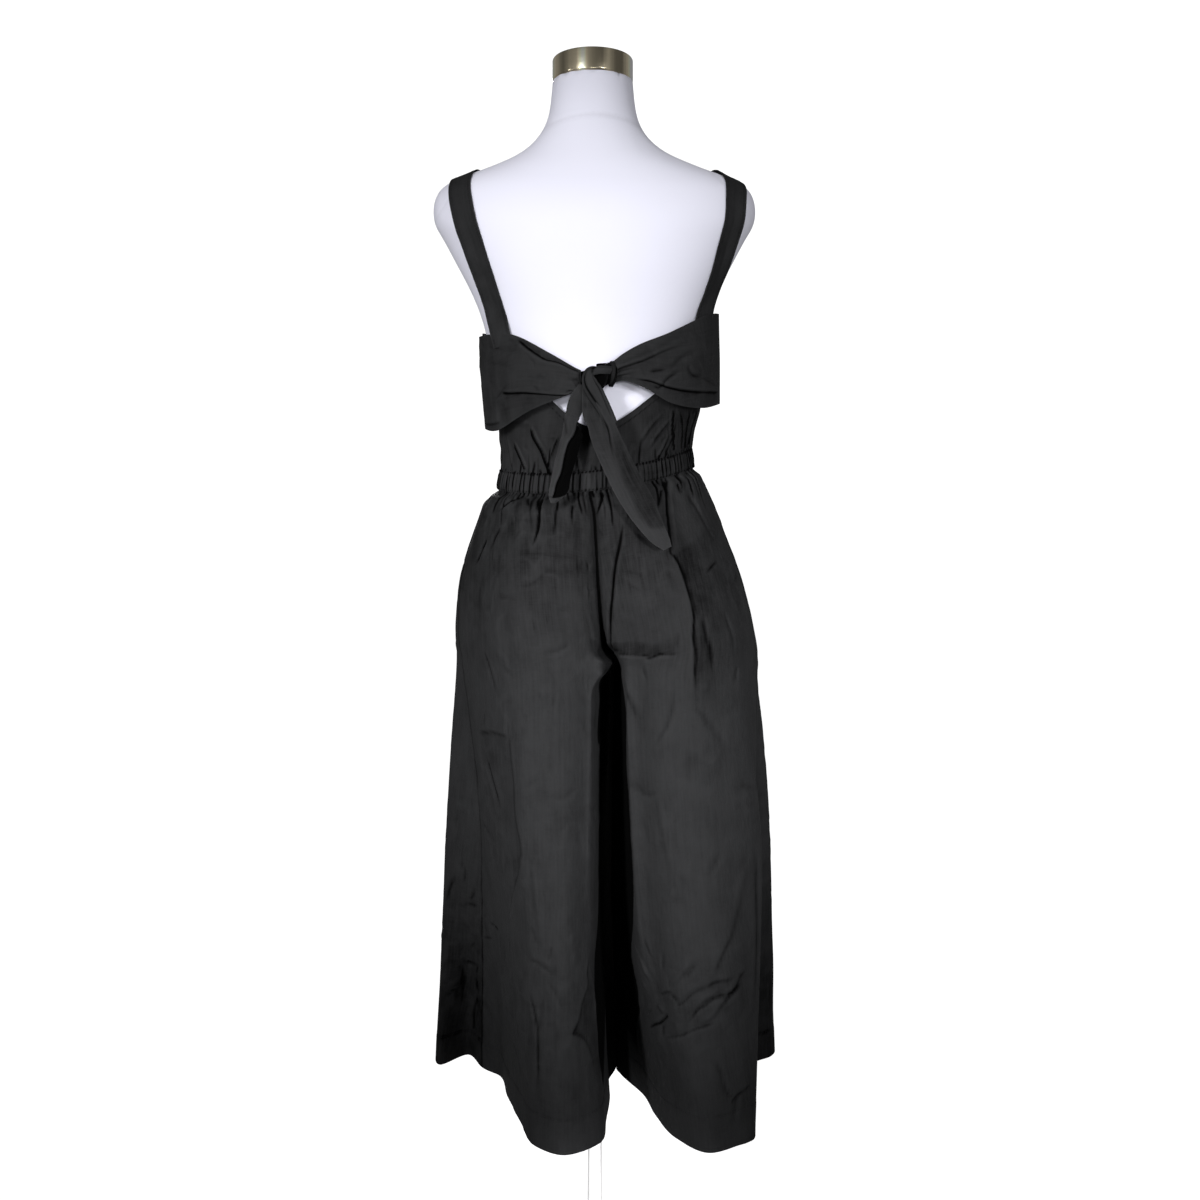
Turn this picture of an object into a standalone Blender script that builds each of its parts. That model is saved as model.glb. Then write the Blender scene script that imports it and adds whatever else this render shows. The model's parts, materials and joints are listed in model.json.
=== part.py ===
"""Wide-leg jumpsuit with a tied back, worn by a limbless dress form on a pole and a disc base.

Metres, +Z up. The back of the garment faces -Y, its front +Y and the wearer's left is -X.
The origin is on the floor, under the middle of the form. Tables are in millimetres.
"""

import math
from collections import namedtuple

import bmesh
import bpy
import numpy as np
from mathutils import Vector
from mathutils.bvhtree import BVHTree

MM = 0.001

# Cloth
WALL = 1.0 * MM
SEAM_GAP = 0.3 * MM
LAID_ON = 3.0 * MM  # from the form to the middle of a strap that lies on it

# Waist seam and its elastic casing: both dip at the left side and rise at the right
CASING_HEIGHT = 24 * MM
CASING_LOW = 1045 * MM
WAIST_SLANT = 0.11
WAIST_BOW = 0.65
CASING_COLUMNS = 48
CASING_GATHERS = 12
CASING_DEPTH = 1.6 * MM
CASING_JOIN = 2.4 * MM  # from its lower edge down to the trousers' upper edge, which slants

# Trousers
HEM = 266 * MM
LEVEL = {
    "yoke": 1019 * MM,
    "hip": 985 * MM,
    "seat": 915 * MM,
    "tuck": 866 * MM,
    "fork": 835 * MM,
    "knee": 580 * MM,
    "hem": HEM,
}
ABOVE_FORK = ("waist", "hip", "seat", "tuck")
ROWS_BETWEEN = (2, 2, 2, 2, 1, 3, 3)
YOKE_PUFF = 0.68  # how much of the spread from waist to hip the gathers take by the yoke
BACK_COLUMNS = 24
FRONT_COLUMNS = 20
LEG_GATHERS = 6
GATHER_DEPTH = 2.2 * MM
GATHER_END = 950 * MM

# Bodice
SCOOP_LOW = 1119 * MM
SCOOP_RISE = 80 * MM
SCOOP_CURVE = {"left": 16.0, "right": 10.5}  # 1/m
BIB_TOP = 1300 * MM
BIB_HALF_WIDTH = 96 * MM
ARMHOLE_LOW = {"left": 1228 * MM, "right": 1250 * MM}
SIDE_SEAM_X = {"left": -127 * MM, "right": 140 * MM}
BODICE_COLUMNS = 24
BODICE_ROWS = 5
BODICE_GATHERS = 6

# Straps, ties and knot
STRAP_WIDTH = 27 * MM
STRAP_SPANS = 24
STRAP_FACING = 0.4  # how far the straps turn sideways with the form; 0 keeps them facing back
TIE_SPANS = 12
TIE_COLUMNS = 6
KNOT_CENTRE = (1 * MM, -107.5 * MM, 1175 * MM)
KNOT_HALF = (13.5 * MM, 9 * MM, 12 * MM)

# Dress form, stand
FORM_SIDES = 36
FORM_EXPONENT = 2.1
NECK_TILT = math.radians(9)
NECK_FROM = 1430  # mm; from here up the rings are true ovals about their own middle
NECK_TILTED = 1500  # mm; from here up they have the whole tilt
CAP_RADIUS = 48 * MM
CAP_HEIGHT = 29 * MM
CAP_EDGE = 3 * MM
POLE_RADIUS = 9 * MM
BASE_RADIUS = 160 * MM
BASE_EDGE = 7 * MM
BASE_CROWN = 16 * MM
HUB_RADIUS = 17 * MM
HUB_TOP = 48 * MM

# Plan outline of each trouser panel. A row is a fold that runs from the waist to the hem, named for
# where it lies, and share is how far across the panel's cut width it is, from the panel's first seam.
# The other columns are its (x, y) at the waist and at each level. "edge", "in", "lobe" and "out" go
# round the deep lobe that each leg's back hangs in.
Fold = namedtuple("Fold", "name share waist hip seat tuck fork knee hem")


def folds(*rows):
    return tuple(Fold(*row) for row in rows)


BACK_LEFT = folds(
    ("seam", 0.00, (-5, -86), (2, -104), (6, -106), (19.6, -92), (21, -5), (12, -5), (18, 30)),
    ("inner", 0.10, (-13, -86), (-7, -109), (-2, -113), (12, -100), (16, -44), (9.5, -45), (19, -20)),
    ("edge", 0.22, (-22, -84), (-16, -113), (-10, -120), (4, -109), (6, -82), (5, -92), (14, -85)),
    ("in", 0.34, (-36, -81), (-31, -116), (-24, -127), (-12, -120), (-8, -113), (-9, -132), (5, -143)),
    ("lobe", 0.44, (-56, -73), (-55, -114), (-50, -131), (-42, -130), (-40, -129), (-38, -150), (-36, -173)),
    ("out", 0.53, (-77, -64), (-81, -103), (-80, -124), (-76, -126), (-75, -124), (-72, -140), (-70, -150)),
    ("turn", 0.66, (-95, -50), (-106, -84), (-109, -104), (-109, -106), (-106, -105), (-100, -106), (-92, -82)),
    ("deep", 0.79, (-108, -31), (-127, -59), (-133, -76), (-134, -76), (-131, -76), (-119, -68), (-110, -18)),
    ("dip", 0.90, (-115, -15), (-142, -31), (-152, -42), (-153, -44), (-149, -44), (-133, -32), (-123, 45)),
    ("side", 1.00, (-117, 0), (-149, -2), (-166, -5), (-168, -8), (-164, -10), (-143, 0), (-150, 73)),
)
BACK_RIGHT = folds(
    ("seam", 0.00, (-4.7, -86), (2.3, -104), (6.3, -106), (20.6, -92), (23, -5), (20, -5), (40, 46)),
    ("inner", 0.12, (4, -86), (12, -109), (16, -113), (28, -101), (27, -44), (33, -40), (62, -8)),
    ("edge", 0.26, (14, -85.5), (22, -112), (27, -119), (37, -110), (33, -82), (43, -78), (77, -68)),
    ("in", 0.40, (33, -83), (40, -114), (48, -128), (56, -122), (50, -113), (61, -118), (100, -130)),
    ("lobe", 0.52, (57, -77), (66, -110), (79, -130), (87, -131), (84, -130), (101, -143), (138, -167)),
    ("out", 0.60, (80, -65), (92, -99), (112, -120), (121, -122), (123, -122), (150, -133), (171, -149)),
    ("fold", 0.66, (99, -49), (119, -79), (144, -96), (154, -99), (158, -97), (192, -93), (191, -134)),
    ("tuck", 0.78, (111.5, -31), (140, -53), (165, -65), (176, -66), (180, -66), (199, -56), (189, -78)),
    ("deep", 0.90, (118, -14), (154, -27), (178, -34), (189, -35), (193, -35), (199, -19), (186, -20)),
    ("side", 1.00, (119.5, 0), (160, 0), (184, -3), (196, -5), (199, -5), (203, 15), (192, 30)),
)
FRONT_LEFT = folds(
    ("side", 0.00, (-117, 0), (-149, -2), (-166, -5), (-168, -8), (-164, -10), (-143, 0), (-150, 73)),
    ("dip", 0.09, (-115, 16), (-150, 18), (-169, 16), (-173, 14), (-171, 12), (-163, 20), (-172, 115)),
    ("turn", 0.18, (-109, 34), (-145, 38), (-163, 37), (-169, 37), (-172, 34), (-190, 46), (-206, 82)),
    ("corner", 0.29, (-97, 50), (-132, 58), (-150, 62), (-157, 64), (-161, 62), (-188, 86), (-212, 126)),
    ("outer", 0.42, (-80, 66), (-110, 80), (-126, 88), (-133, 92), (-137, 92), (-158, 128), (-172, 177)),
    ("front", 0.56, (-54, 76), (-76, 98), (-88, 106), (-94, 110), (-98, 112), (-104, 147), (-104, 191)),
    ("middle", 0.69, (-28, 83), (-38, 106), (-43, 114), (-45, 115), (-38, 114), (-26, 142), (-18, 178)),
    ("bend", 0.79, (-11, 86), (-14, 108), (-17, 114), (-9, 110), (19, 98), (28, 113), (38, 142)),
    ("inner", 0.90, (-2, 86.5), (-2, 107), (-3, 112), (5, 101), (18, 48), (19, 62), (29, 88)),
    ("seam", 1.00, (4.2, 86.5), (4.2, 106), (6, 109), (12.2, 90), (21, -5), (12, -5), (18, 30)),
)
FRONT_RIGHT = folds(
    ("side", 0.00, (119.5, 0), (160, 0), (184, -3), (196, -5), (199, -5), (203, 15), (192, 30)),
    ("dip", 0.09, (118, 17), (161, 18), (186, 16), (198, 16), (203, 16), (206, 40), (205, 82)),
    ("turn", 0.18, (113, 32), (156, 38), (180, 38), (190, 38), (198, 40), (227, 58), (237, 108)),
    ("corner", 0.29, (104, 46), (144, 58), (166, 62), (175, 64), (182, 66), (216, 98), (243, 142)),
    ("outer", 0.42, (88, 61), (122, 80), (141, 88), (149, 92), (156, 94), (184, 134), (206, 182)),
    ("front", 0.56, (65, 75), (88, 97), (102, 106), (109, 110), (115, 112), (133, 150), (146, 202)),
    ("middle", 0.69, (38, 83), (50, 106), (58, 114), (63, 115), (70, 111), (86, 141), (95, 190)),
    ("bend", 0.79, (21, 86), (26, 109), (31, 114), (38, 108), (48, 92), (56, 102), (62, 150)),
    ("inner", 0.90, (12, 87), (12.5, 107), (15, 112), (21, 99), (33, 46), (35, 58), (45, 94)),
    ("seam", 1.00, (4.5, 86.5), (4.5, 106), (6.3, 109), (14.2, 90), (23, -5), (20, -5), (40, 46)),
)

# A trouser panel, the other panel of its leg, and the same panel of the other leg
Panel = namedtuple("Panel", "folds partner twin columns is_back")
PANELS = {
    "trouser_back_left": Panel(BACK_LEFT, FRONT_LEFT, BACK_RIGHT, BACK_COLUMNS, True),
    "trouser_back_right": Panel(BACK_RIGHT, FRONT_RIGHT, BACK_LEFT, BACK_COLUMNS, True),
    "trouser_front_left": Panel(FRONT_LEFT, BACK_LEFT, FRONT_RIGHT, FRONT_COLUMNS, False),
    "trouser_front_right": Panel(FRONT_RIGHT, BACK_RIGHT, FRONT_LEFT, FRONT_COLUMNS, False),
}

# Girth of the bodice: centre is how far its middle lies to the right of the form's
Girth = namedtuple("Girth", "z centre half_width back front")
BODICE = (
    Girth(1030, 1.0, 122, 88, 89),
    Girth(1069, 1.5, 115, 86, 87),
    Girth(1109, 2.5, 117.5, 90, 99),
    Girth(1137, 4.5, 122.5, 94, 112),
    Girth(1190, 5.0, 133, 99, 130),
    Girth(1230, 3.5, 138, 101, 130),
    Girth(1270, 2.0, 149, 103, 117),
    Girth(1310, 0.0, 160, 103, 103),
)

# Outline of the dress form, from its flat bottom to the top of the neck
Ring = namedtuple("Ring", "z centre half_width back front")
FORM = (
    Ring(885, 3, 122, 88, 72),
    Ring(888, 3, 130, 94, 78),
    Ring(900, 3, 139, 99, 85),
    Ring(930, 3, 142, 103, 91),
    Ring(970, 3, 135, 99, 92),
    Ring(1010, 3, 118, 88, 84),
    Ring(1045, 2, 106, 79, 79),
    Ring(1075, 1, 106, 78, 80),
    Ring(1110, 1, 109, 82, 90),
    Ring(1150, 1, 117, 87, 108),
    Ring(1190, 0, 124, 91, 122),
    Ring(1232, 0, 131, 94, 121),
    Ring(1270, 0, 144, 96, 108),
    Ring(1312, 0, 167, 96, 93),
    Ring(1339, 0, 181, 94, 84),
    Ring(1352, 0, 190, 92, 79),
    Ring(1366, 0, 193, 88, 73),
    Ring(1381, 0, 192, 82, 66),
    Ring(1395, 0, 186, 75, 60),
    Ring(1404, 0, 174, 70, 56),
    Ring(1412, 0, 155, 65, 52),
    Ring(1420, 0, 131, 61, 50),
    Ring(1429, 0, 108, 56, 50),
    Ring(1439, -1, 85, 50, 51),
    Ring(1455, -2, 66, 42, 56),
    Ring(1475, -2, 54, 34, 60),
    Ring(1498, -2, 50, 29, 66),
    Ring(1523, -2, 48, 26, 70),
)

# Straps, from the bib over the shoulder to the tie: centre line, and how much the inner edge is lifted
StrapStep = namedtuple("StrapStep", "x y z lift")
STRAP_LEFT = (
    StrapStep(-92, 94, 1303, -2),
    StrapStep(-101, 84, 1330, -2),
    StrapStep(-118, 66, 1368, -1),
    StrapStep(-138, 40, 1401, 2),
    StrapStep(-149, 8, 1413, 3),
    StrapStep(-154, -26, 1404, 3),
    StrapStep(-154, -46, 1382, 3),
    StrapStep(-144.5, -57, 1341, 3),
    StrapStep(-130, -61, 1291, 3),
    StrapStep(-115, -63, 1251, -1),
    StrapStep(-105, -65, 1230, -6),
)
STRAP_RIGHT = (
    StrapStep(92, 94, 1303, -2),
    StrapStep(101, 84, 1330, -2),
    StrapStep(120, 66, 1368, -1),
    StrapStep(142, 40, 1401, 3),
    StrapStep(155, 10, 1413, 5),
    StrapStep(162, -20, 1403, 4),
    StrapStep(162.5, -40, 1384, 1),
    StrapStep(162, -52, 1352, 0),
    StrapStep(154, -50, 1320, 0),
    StrapStep(147.5, -45, 1296, -2),
    StrapStep(140, -42, 1274, -5),
    StrapStep(132, -44, 1252, -6),
)

# Ties, from the side seam to the knot: the upper edge, the lower edge, how far the middle of
# the band swells out, and how deep its three pleats are
TieSection = namedtuple("TieSection", "top low swell pleat")
TIE_LEFT = (
    TieSection((-136.5, 6, 1222), (-123, 6, 1113), 0, 0),
    TieSection((-137.5, -12, 1224), (-131, -12, 1114), 1, 0),
    TieSection((-119, -50, 1226), (-113, -54, 1114), 2, 0),
    TieSection((-91, -77, 1224), (-78, -85, 1136), 4, 0.3),
    TieSection((-55, -98, 1206), (-46, -101, 1150), 4, 1.2),
    TieSection((-27, -105, 1190), (-27, -107, 1158), 2, 1.6),
    TieSection((-15, -107, 1184), (-16, -108, 1160), 1, 1.4),
)
TIE_RIGHT = (
    TieSection((147, 6, 1246), (139, 6, 1143), 0, 0),
    TieSection((147.5, -12, 1251), (150, -12, 1144), 1, 0),
    TieSection((129, -48, 1247), (127, -56, 1140), 3, 0.3),
    TieSection((84, -84, 1226), (91, -86, 1146), 5, 0.8),
    TieSection((52, -99, 1213), (60, -101, 1163), 5, 1.6),
    TieSection((30, -105, 1200), (36, -107, 1172), 3, 1.8),
    TieSection((17, -107, 1189), (17, -108, 1169), 1, 1.4),
)

# Hanging ends of the ties, from the knot to the tip: both edges, and how deep the lengthwise fold is
TailSection = namedtuple("TailSection", "left right fold")
TAIL_LONG = (
    TailSection((-9, -121, 1166), (5, -121, 1167), 2),
    TailSection((-10, -121, 1150), (10, -121, 1149), 3),
    TailSection((-7, -117, 1118), (22, -116, 1121), 4),
    TailSection((7, -114, 1083), (41, -113, 1083), 5),
    TailSection((19, -116, 1050), (59, -114, 1049), 6),
    TailSection((40, -121, 1017), (74, -116, 1015), 5),
    TailSection((60, -124, 992), (81, -119, 997), 3),
    TailSection((73, -124, 983), (82, -121, 986), 1),
)
TAIL_SHORT = (
    TailSection((-27, -113, 1152), (-13, -113, 1155), 2),
    TailSection((-34, -107, 1130), (-13, -109, 1130), 5),
    TailSection((-38, -104, 1106), (-15, -108, 1104), 8),
    TailSection((-43, -106, 1072), (-18, -110, 1070), 9),
    TailSection((-47, -114, 1043), (-24, -116, 1046), 7),
    TailSection((-45, -120, 1024), (-36, -121, 1026), 1),
)


def clear_scene():
    for old in list(bpy.data.objects):
        bpy.data.objects.remove(old)


def material(name, colour, roughness, metallic=0.0):
    made = bpy.data.materials.new(name)
    made.use_nodes = True
    shader = made.node_tree.nodes["Principled BSDF"]
    shader.inputs["Base Color"].default_value = (*colour, 1.0)
    shader.inputs["Roughness"].default_value = roughness
    shader.inputs["Metallic"].default_value = metallic
    return made


def add_object(name, mesh, finish, collection):
    made = bpy.data.objects.new(name, mesh)
    made.data.materials.append(finish)
    collection.objects.link(made)
    mesh.shade_smooth()
    mesh.set_sharp_from_angle(angle=math.radians(40))
    return made


def level_slopes(knots, values):
    """Slopes at the knots that keep a curve between its values, with no swing past them."""
    shape = (-1,) + (1,) * (values.ndim - 1)
    span = np.diff(knots).reshape(shape)
    rise = np.diff(values, axis=0) / span
    before, after = rise[:-1], rise[1:]
    near, far = 2 * span[1:] + span[:-1], span[1:] + 2 * span[:-1]
    same_way = before * after > 0
    safe_before = np.where(same_way, before, 1.0)
    safe_after = np.where(same_way, after, 1.0)
    inner = np.where(same_way, (near + far) / (near / safe_before + far / safe_after), 0.0)
    return np.concatenate([rise[:1], inner, rise[-1:]])


def spline(knots, values, places, level=False):
    """Points at these places on a smooth curve that passes through the values at the knots."""
    knots = np.asarray(knots, float)
    values = np.asarray(values, float)
    places = np.atleast_1d(np.asarray(places, float))
    slopes = level_slopes(knots, values) if level else np.gradient(values, knots, axis=0)
    start = np.clip(np.searchsorted(knots, places, side="right") - 1, 0, len(knots) - 2)
    span = knots[start + 1] - knots[start]
    t = (places - knots[start]) / span
    shape = (-1,) + (1,) * (values.ndim - 1)
    t = t.reshape(shape)
    span = span.reshape(shape)
    return (
        (2 * t**3 - 3 * t**2 + 1) * values[start]
        + (t**3 - 2 * t**2 + t) * span * slopes[start]
        + (3 * t**2 - 2 * t**3) * values[start + 1]
        + (t**3 - t**2) * span * slopes[start + 1]
    )


def smoothstep(value, low, high):
    t = np.clip((value - low) / (high - low), 0.0, 1.0)
    return t * t * (3 - 2 * t)


def waist_line(x, low):
    """Height of the slanting waist seam over x, where its middle is at low."""
    return low + WAIST_SLANT * x + WAIST_BOW * x * x


def draw_in(grid, gap):
    """Moves the first and last column of points towards the next one, to leave a seam's gap."""
    for edge, inner in ((0, 1), (-1, -2)):
        step = grid[:, inner] - grid[:, edge]
        grid[:, edge] += gap * step / np.linalg.norm(step, axis=1, keepdims=True)
    return grid


def grid_normals(grid):
    """Unit normals of a grid of points, to the right of its rows as they climb."""
    normals = np.cross(np.gradient(grid, axis=1), np.gradient(grid, axis=0))
    return normals / np.linalg.norm(normals, axis=2, keepdims=True)


def grid_mesh(name, grid, closed=False):
    """An open sheet of quads over rows of points, or a ring of them when closed."""
    rows, columns = grid.shape[:2]
    sheet = bmesh.new()
    points = [[sheet.verts.new(point) for point in row] for row in grid]
    for row in range(rows - 1):
        for column in range(columns if closed else columns - 1):
            after = (column + 1) % columns
            sheet.faces.new(
                (points[row][column], points[row][after], points[row + 1][after], points[row + 1][column])
            )
    mesh = bpy.data.meshes.new(name)
    sheet.to_mesh(mesh)
    sheet.free()
    return mesh


def cloth(name, grid, finish, collection, closed=False):
    """A panel of cloth: a sheet through the points, with the wall half to each side of it."""
    made = add_object(name, grid_mesh(name, grid, closed), finish, collection)
    wall = made.modifiers.new("wall", "SOLIDIFY")
    wall.thickness = WALL
    wall.offset = 0.0
    return made


def surface_of(made):
    return BVHTree.FromObject(made, bpy.context.evaluated_depsgraph_get())


def lay_on(grid, surface, hold):
    """Brings rows of points to rest over a surface. Where hold is 1 a row's middle is drawn on to it,
    and where it is 0 only what would come too close is moved."""
    for points, pull in zip(grid, hold):
        middle = Vector(points[len(points) // 2])
        near, normal, _, _ = surface.find_nearest(middle)
        points += pull * np.array(near + normal * LAID_ON - middle)
        for point in points:
            near, normal, _, _ = surface.find_nearest(Vector(point))
            short = LAID_ON - (Vector(point) - near).dot(normal)
            point += max(0.0, short) * np.array(normal)
    return grid


def panel_outline(level, panel, places):
    """Plan points across a trouser panel at a level, smooth over its seams into its neighbours."""
    centre = panel.twin if level in ABOVE_FORK else panel.partner
    inner = centre[1] if panel.is_back else centre[-2]
    if not panel.is_back:
        first = (panel.partner[-2].share - 1, panel.partner[-2])
        last = (2 - inner.share, inner) if centre is panel.twin else (1 + centre[1].share, centre[1])
    else:
        first = (-inner.share, inner) if centre is panel.twin else (centre[-2].share - 1, centre[-2])
        last = (1 + panel.partner[1].share, panel.partner[1])
    rows = [first, *((fold.share, fold) for fold in panel.folds), last]
    return spline([share for share, _ in rows], [getattr(fold, level) for _, fold in rows], places) * MM


def leg_panel(name, panel, finish, collection):
    """One trouser panel, lofted through the plan outlines of its folds at the waist and each level."""
    across = np.linspace(0, 1, panel.columns + 1)
    sections = []
    for level in ("waist", *LEVEL):
        if level == "yoke":
            waist, hip = (panel_outline(name, panel, across) for name in ("waist", "hip"))
            plan = waist + YOKE_PUFF * (hip - waist)
        else:
            plan = panel_outline(level, panel, across)
        if level == "waist":
            height = waist_line(plan[:, 0], CASING_LOW) - CASING_JOIN
        else:
            height = np.full(len(across), LEVEL[level])
        sections.append(np.column_stack([plan, height]))
    steps = [i + part / count for i, count in enumerate(ROWS_BETWEEN) for part in range(count)]
    knots = -np.array([CASING_LOW, *LEVEL.values()])
    places = np.interp([*steps, len(ROWS_BETWEEN)], range(len(knots)), knots)
    grid = spline(knots, sections, places, level=True)
    fade = smoothstep(grid[..., 2], GATHER_END, CASING_LOW)
    from_seam = np.minimum(1, 10 * across * (1 - across))
    wave = GATHER_DEPTH * fade * from_seam * np.cos(2 * math.pi * LEG_GATHERS * across)
    grid += grid_normals(grid) * wave[..., None]
    return cloth(name, draw_in(grid, SEAM_GAP / 2), finish, collection)


def girth_at(height):
    """Centre, half width, back and front depth of the bodice at a height, in metres."""
    rows = [(g.centre, g.half_width, g.back, g.front) for g in BODICE]
    return spline([g.z * MM for g in BODICE], rows, height)[0] * MM


def bodice_point(height, angle, out=0.0):
    """A point round the bodice. The angle runs from 0 at the right side through 90 at the front."""
    centre, half_width, back, front = girth_at(height)
    depth = front if math.sin(angle) > 0 else back
    return (centre + (half_width + out) * math.cos(angle), (depth + out) * math.sin(angle), height)


def scoop_top(x):
    """Height of the back bodice's curved upper edge."""
    curve = SCOOP_CURVE["left" if x < 0 else "right"]
    return SCOOP_LOW + SCOOP_RISE * (1 - math.exp(-curve * x * x / SCOOP_RISE))


def bib_top(x):
    """Height of the front bodice's upper edge, which falls to the armhole at each side."""
    side = "left" if x < 0 else "right"
    fall = float(smoothstep(abs(x), BIB_HALF_WIDTH, abs(SIDE_SEAM_X[side])))
    return BIB_TOP - (BIB_TOP - ARMHOLE_LOW[side]) * fall


def bodice_panel(name, start, end, top_edge, finish, collection):
    """A bodice panel between two angles, from the waist casing to its upper edge."""
    grid = np.zeros((BODICE_ROWS + 1, BODICE_COLUMNS + 1, 3))
    for column, angle in enumerate(np.linspace(start, end, BODICE_COLUMNS + 1)):
        x_low = bodice_point(CASING_LOW + CASING_HEIGHT, angle)[0]
        low = waist_line(x_low, CASING_LOW + CASING_HEIGHT) + SEAM_GAP
        x_high = x_low
        for _ in range(4):
            high = top_edge(x_high)
            x_high = bodice_point(high, angle)[0]
        for row, height in enumerate(np.linspace(low, high, BODICE_ROWS + 1)):
            fade = max(0.0, 1 - (height - low) / 0.06)
            wave = GATHER_DEPTH * fade * math.cos(2 * math.pi * BODICE_GATHERS * column / BODICE_COLUMNS)
            grid[row, column] = bodice_point(height, angle, wave)
    return cloth(name, draw_in(grid, SEAM_GAP / 2), finish, collection)


def waist_casing(finish, collection):
    """The gathered casing of the waist elastic, one ring."""
    grid = np.zeros((4, CASING_COLUMNS, 3))
    for column in range(CASING_COLUMNS):
        angle = 2 * math.pi * column / CASING_COLUMNS
        wave = CASING_DEPTH * math.cos(CASING_GATHERS * angle)
        for row, rise in enumerate(np.linspace(0, 1, len(grid))):
            swell = wave * math.sin(math.pi * (0.15 + 0.7 * rise))
            x, y, _ = bodice_point(CASING_LOW + rise * CASING_HEIGHT, angle, swell)
            grid[row, column] = (x, y, waist_line(x, CASING_LOW) + rise * CASING_HEIGHT)
    return cloth("waistband", grid, finish, collection, closed=True)


def strap(name, steps, form, finish, collection):
    """A flat strap over the shoulder, three columns wide, laid on the form between its sewn ends."""
    line = np.array([(s.x, s.y, s.z) for s in steps]) * MM
    length = np.concatenate([[0], np.cumsum(np.linalg.norm(np.diff(line, axis=0), axis=1))])
    rows = np.arange(STRAP_SPANS + 1)
    places = length[-1] * rows / STRAP_SPANS
    centres = spline(length, line, places)
    lifts = spline(length, [s.lift * MM for s in steps], places)
    out = np.array([form.find_nearest(Vector(centre))[1] for centre in centres])
    out[:, 0] *= STRAP_FACING
    inward = np.cross(np.gradient(centres, axis=0), out)
    inward *= -np.sign(inward[:, :1] * centres[:, :1]) / np.linalg.norm(inward, axis=1, keepdims=True)
    grid = np.zeros((len(rows), 3, 3))
    for column, part in enumerate((-0.5, 0.0, 0.5)):
        grid[:, column] = centres + inward * STRAP_WIDTH * part
        grid[:, column, 2] += 2 * part * lifts
    hold = np.clip(np.minimum(rows, STRAP_SPANS - rows) / 3, 0, 1)
    return cloth(name, lay_on(grid, form, hold), finish, collection)


def tie(name, sections, finish, collection):
    """A wide band that tapers from the side seam to the knot, with three pleats in it."""
    knots = np.arange(len(sections))
    places = np.linspace(0, knots[-1], TIE_SPANS + 1)
    top = spline(knots, [s.top for s in sections], places) * MM
    low = spline(knots, [s.low for s in sections], places) * MM
    swell = spline(knots, [s.swell for s in sections], places) * MM
    pleat = spline(knots, [s.pleat for s in sections], places) * MM
    across = np.linspace(0, 1, TIE_COLUMNS + 1)
    grid = top[:, None] + (low - top)[:, None] * across[None, :, None]
    along = np.gradient((top + low) / 2, axis=0)
    out = np.cross(along, top - low)
    out *= np.where((out * (top + low) * (1, 1, 0)).sum(1) > 0, 1, -1)[:, None]
    out /= np.linalg.norm(out, axis=1, keepdims=True)
    bulge = swell[:, None] * np.sin(math.pi * across) - pleat[:, None] * np.cos(6 * math.pi * across)
    return cloth(name, grid + out[:, None] * bulge[..., None], finish, collection)


def tail(name, sections, finish, collection):
    """A hanging end, folded lengthwise: four columns from its left edge over the fold to its right."""
    knots = np.arange(len(sections))
    places = np.linspace(0, knots[-1], 2 * knots[-1] + 1)
    left = spline(knots, [s.left for s in sections], places) * MM
    right = spline(knots, [s.right for s in sections], places) * MM
    fold = spline(knots, [s.fold for s in sections], places) * MM
    grid = np.zeros((len(places), 5, 3))
    for column, (part, depth) in enumerate(((0, 0), (0.3, -0.8), (0.55, -1), (0.8, -0.5), (1, 0))):
        grid[:, column] = left + (right - left) * part
        grid[:, column, 1] += fold * depth
    return cloth(name, grid, finish, collection)


def knot(finish, collection):
    """The knot of the two ties, with the groove where one passes round the other."""
    shape = bmesh.new()
    bmesh.ops.create_uvsphere(shape, u_segments=16, v_segments=10, radius=1.0)
    for point in shape.verts:
        groove = 1 - 0.16 * math.exp(-((point.co.x + 0.5 * point.co.z) / 0.22) ** 2)
        for axis in range(3):
            point.co[axis] = point.co[axis] * KNOT_HALF[axis] * groove
    mesh = bpy.data.meshes.new("tie_knot")
    shape.to_mesh(mesh)
    shape.free()
    made = add_object("tie_knot", mesh, finish, collection)
    made.location = KNOT_CENTRE
    return made


def form_torso(finish, collection):
    """The form: rounded rings lofted from the hip to the neck, closed by flat ends."""
    shape = bmesh.new()
    rings = []
    for ring in FORM:
        tilt = math.tan(NECK_TILT) * float(smoothstep(ring.z, NECK_FROM, NECK_TILTED))
        middle = (ring.front - ring.back) / 2
        points = []
        for side in range(FORM_SIDES):
            angle = 2 * math.pi * side / FORM_SIDES
            power = 2 / FORM_EXPONENT
            across = math.copysign(abs(math.cos(angle)) ** power, math.cos(angle))
            deep = math.copysign(abs(math.sin(angle)) ** power, math.sin(angle))
            x = ring.centre + ring.half_width * across
            y = (ring.front if deep > 0 else ring.back) * deep
            if ring.z > NECK_FROM:
                y = middle + (ring.front + ring.back) / 2 * deep
            points.append(shape.verts.new((x * MM, y * MM, (ring.z - tilt * (y - middle)) * MM)))
        rings.append(points)
    for low, high in zip(rings, rings[1:]):
        for side in range(FORM_SIDES):
            after = (side + 1) % FORM_SIDES
            shape.faces.new((low[side], low[after], high[after], high[side]))
    shape.faces.new(rings[0][::-1])
    shape.faces.new(rings[-1])
    mesh = bpy.data.meshes.new("form_torso")
    shape.to_mesh(mesh)
    shape.free()
    return add_object("form_torso", mesh, finish, collection)


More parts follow.
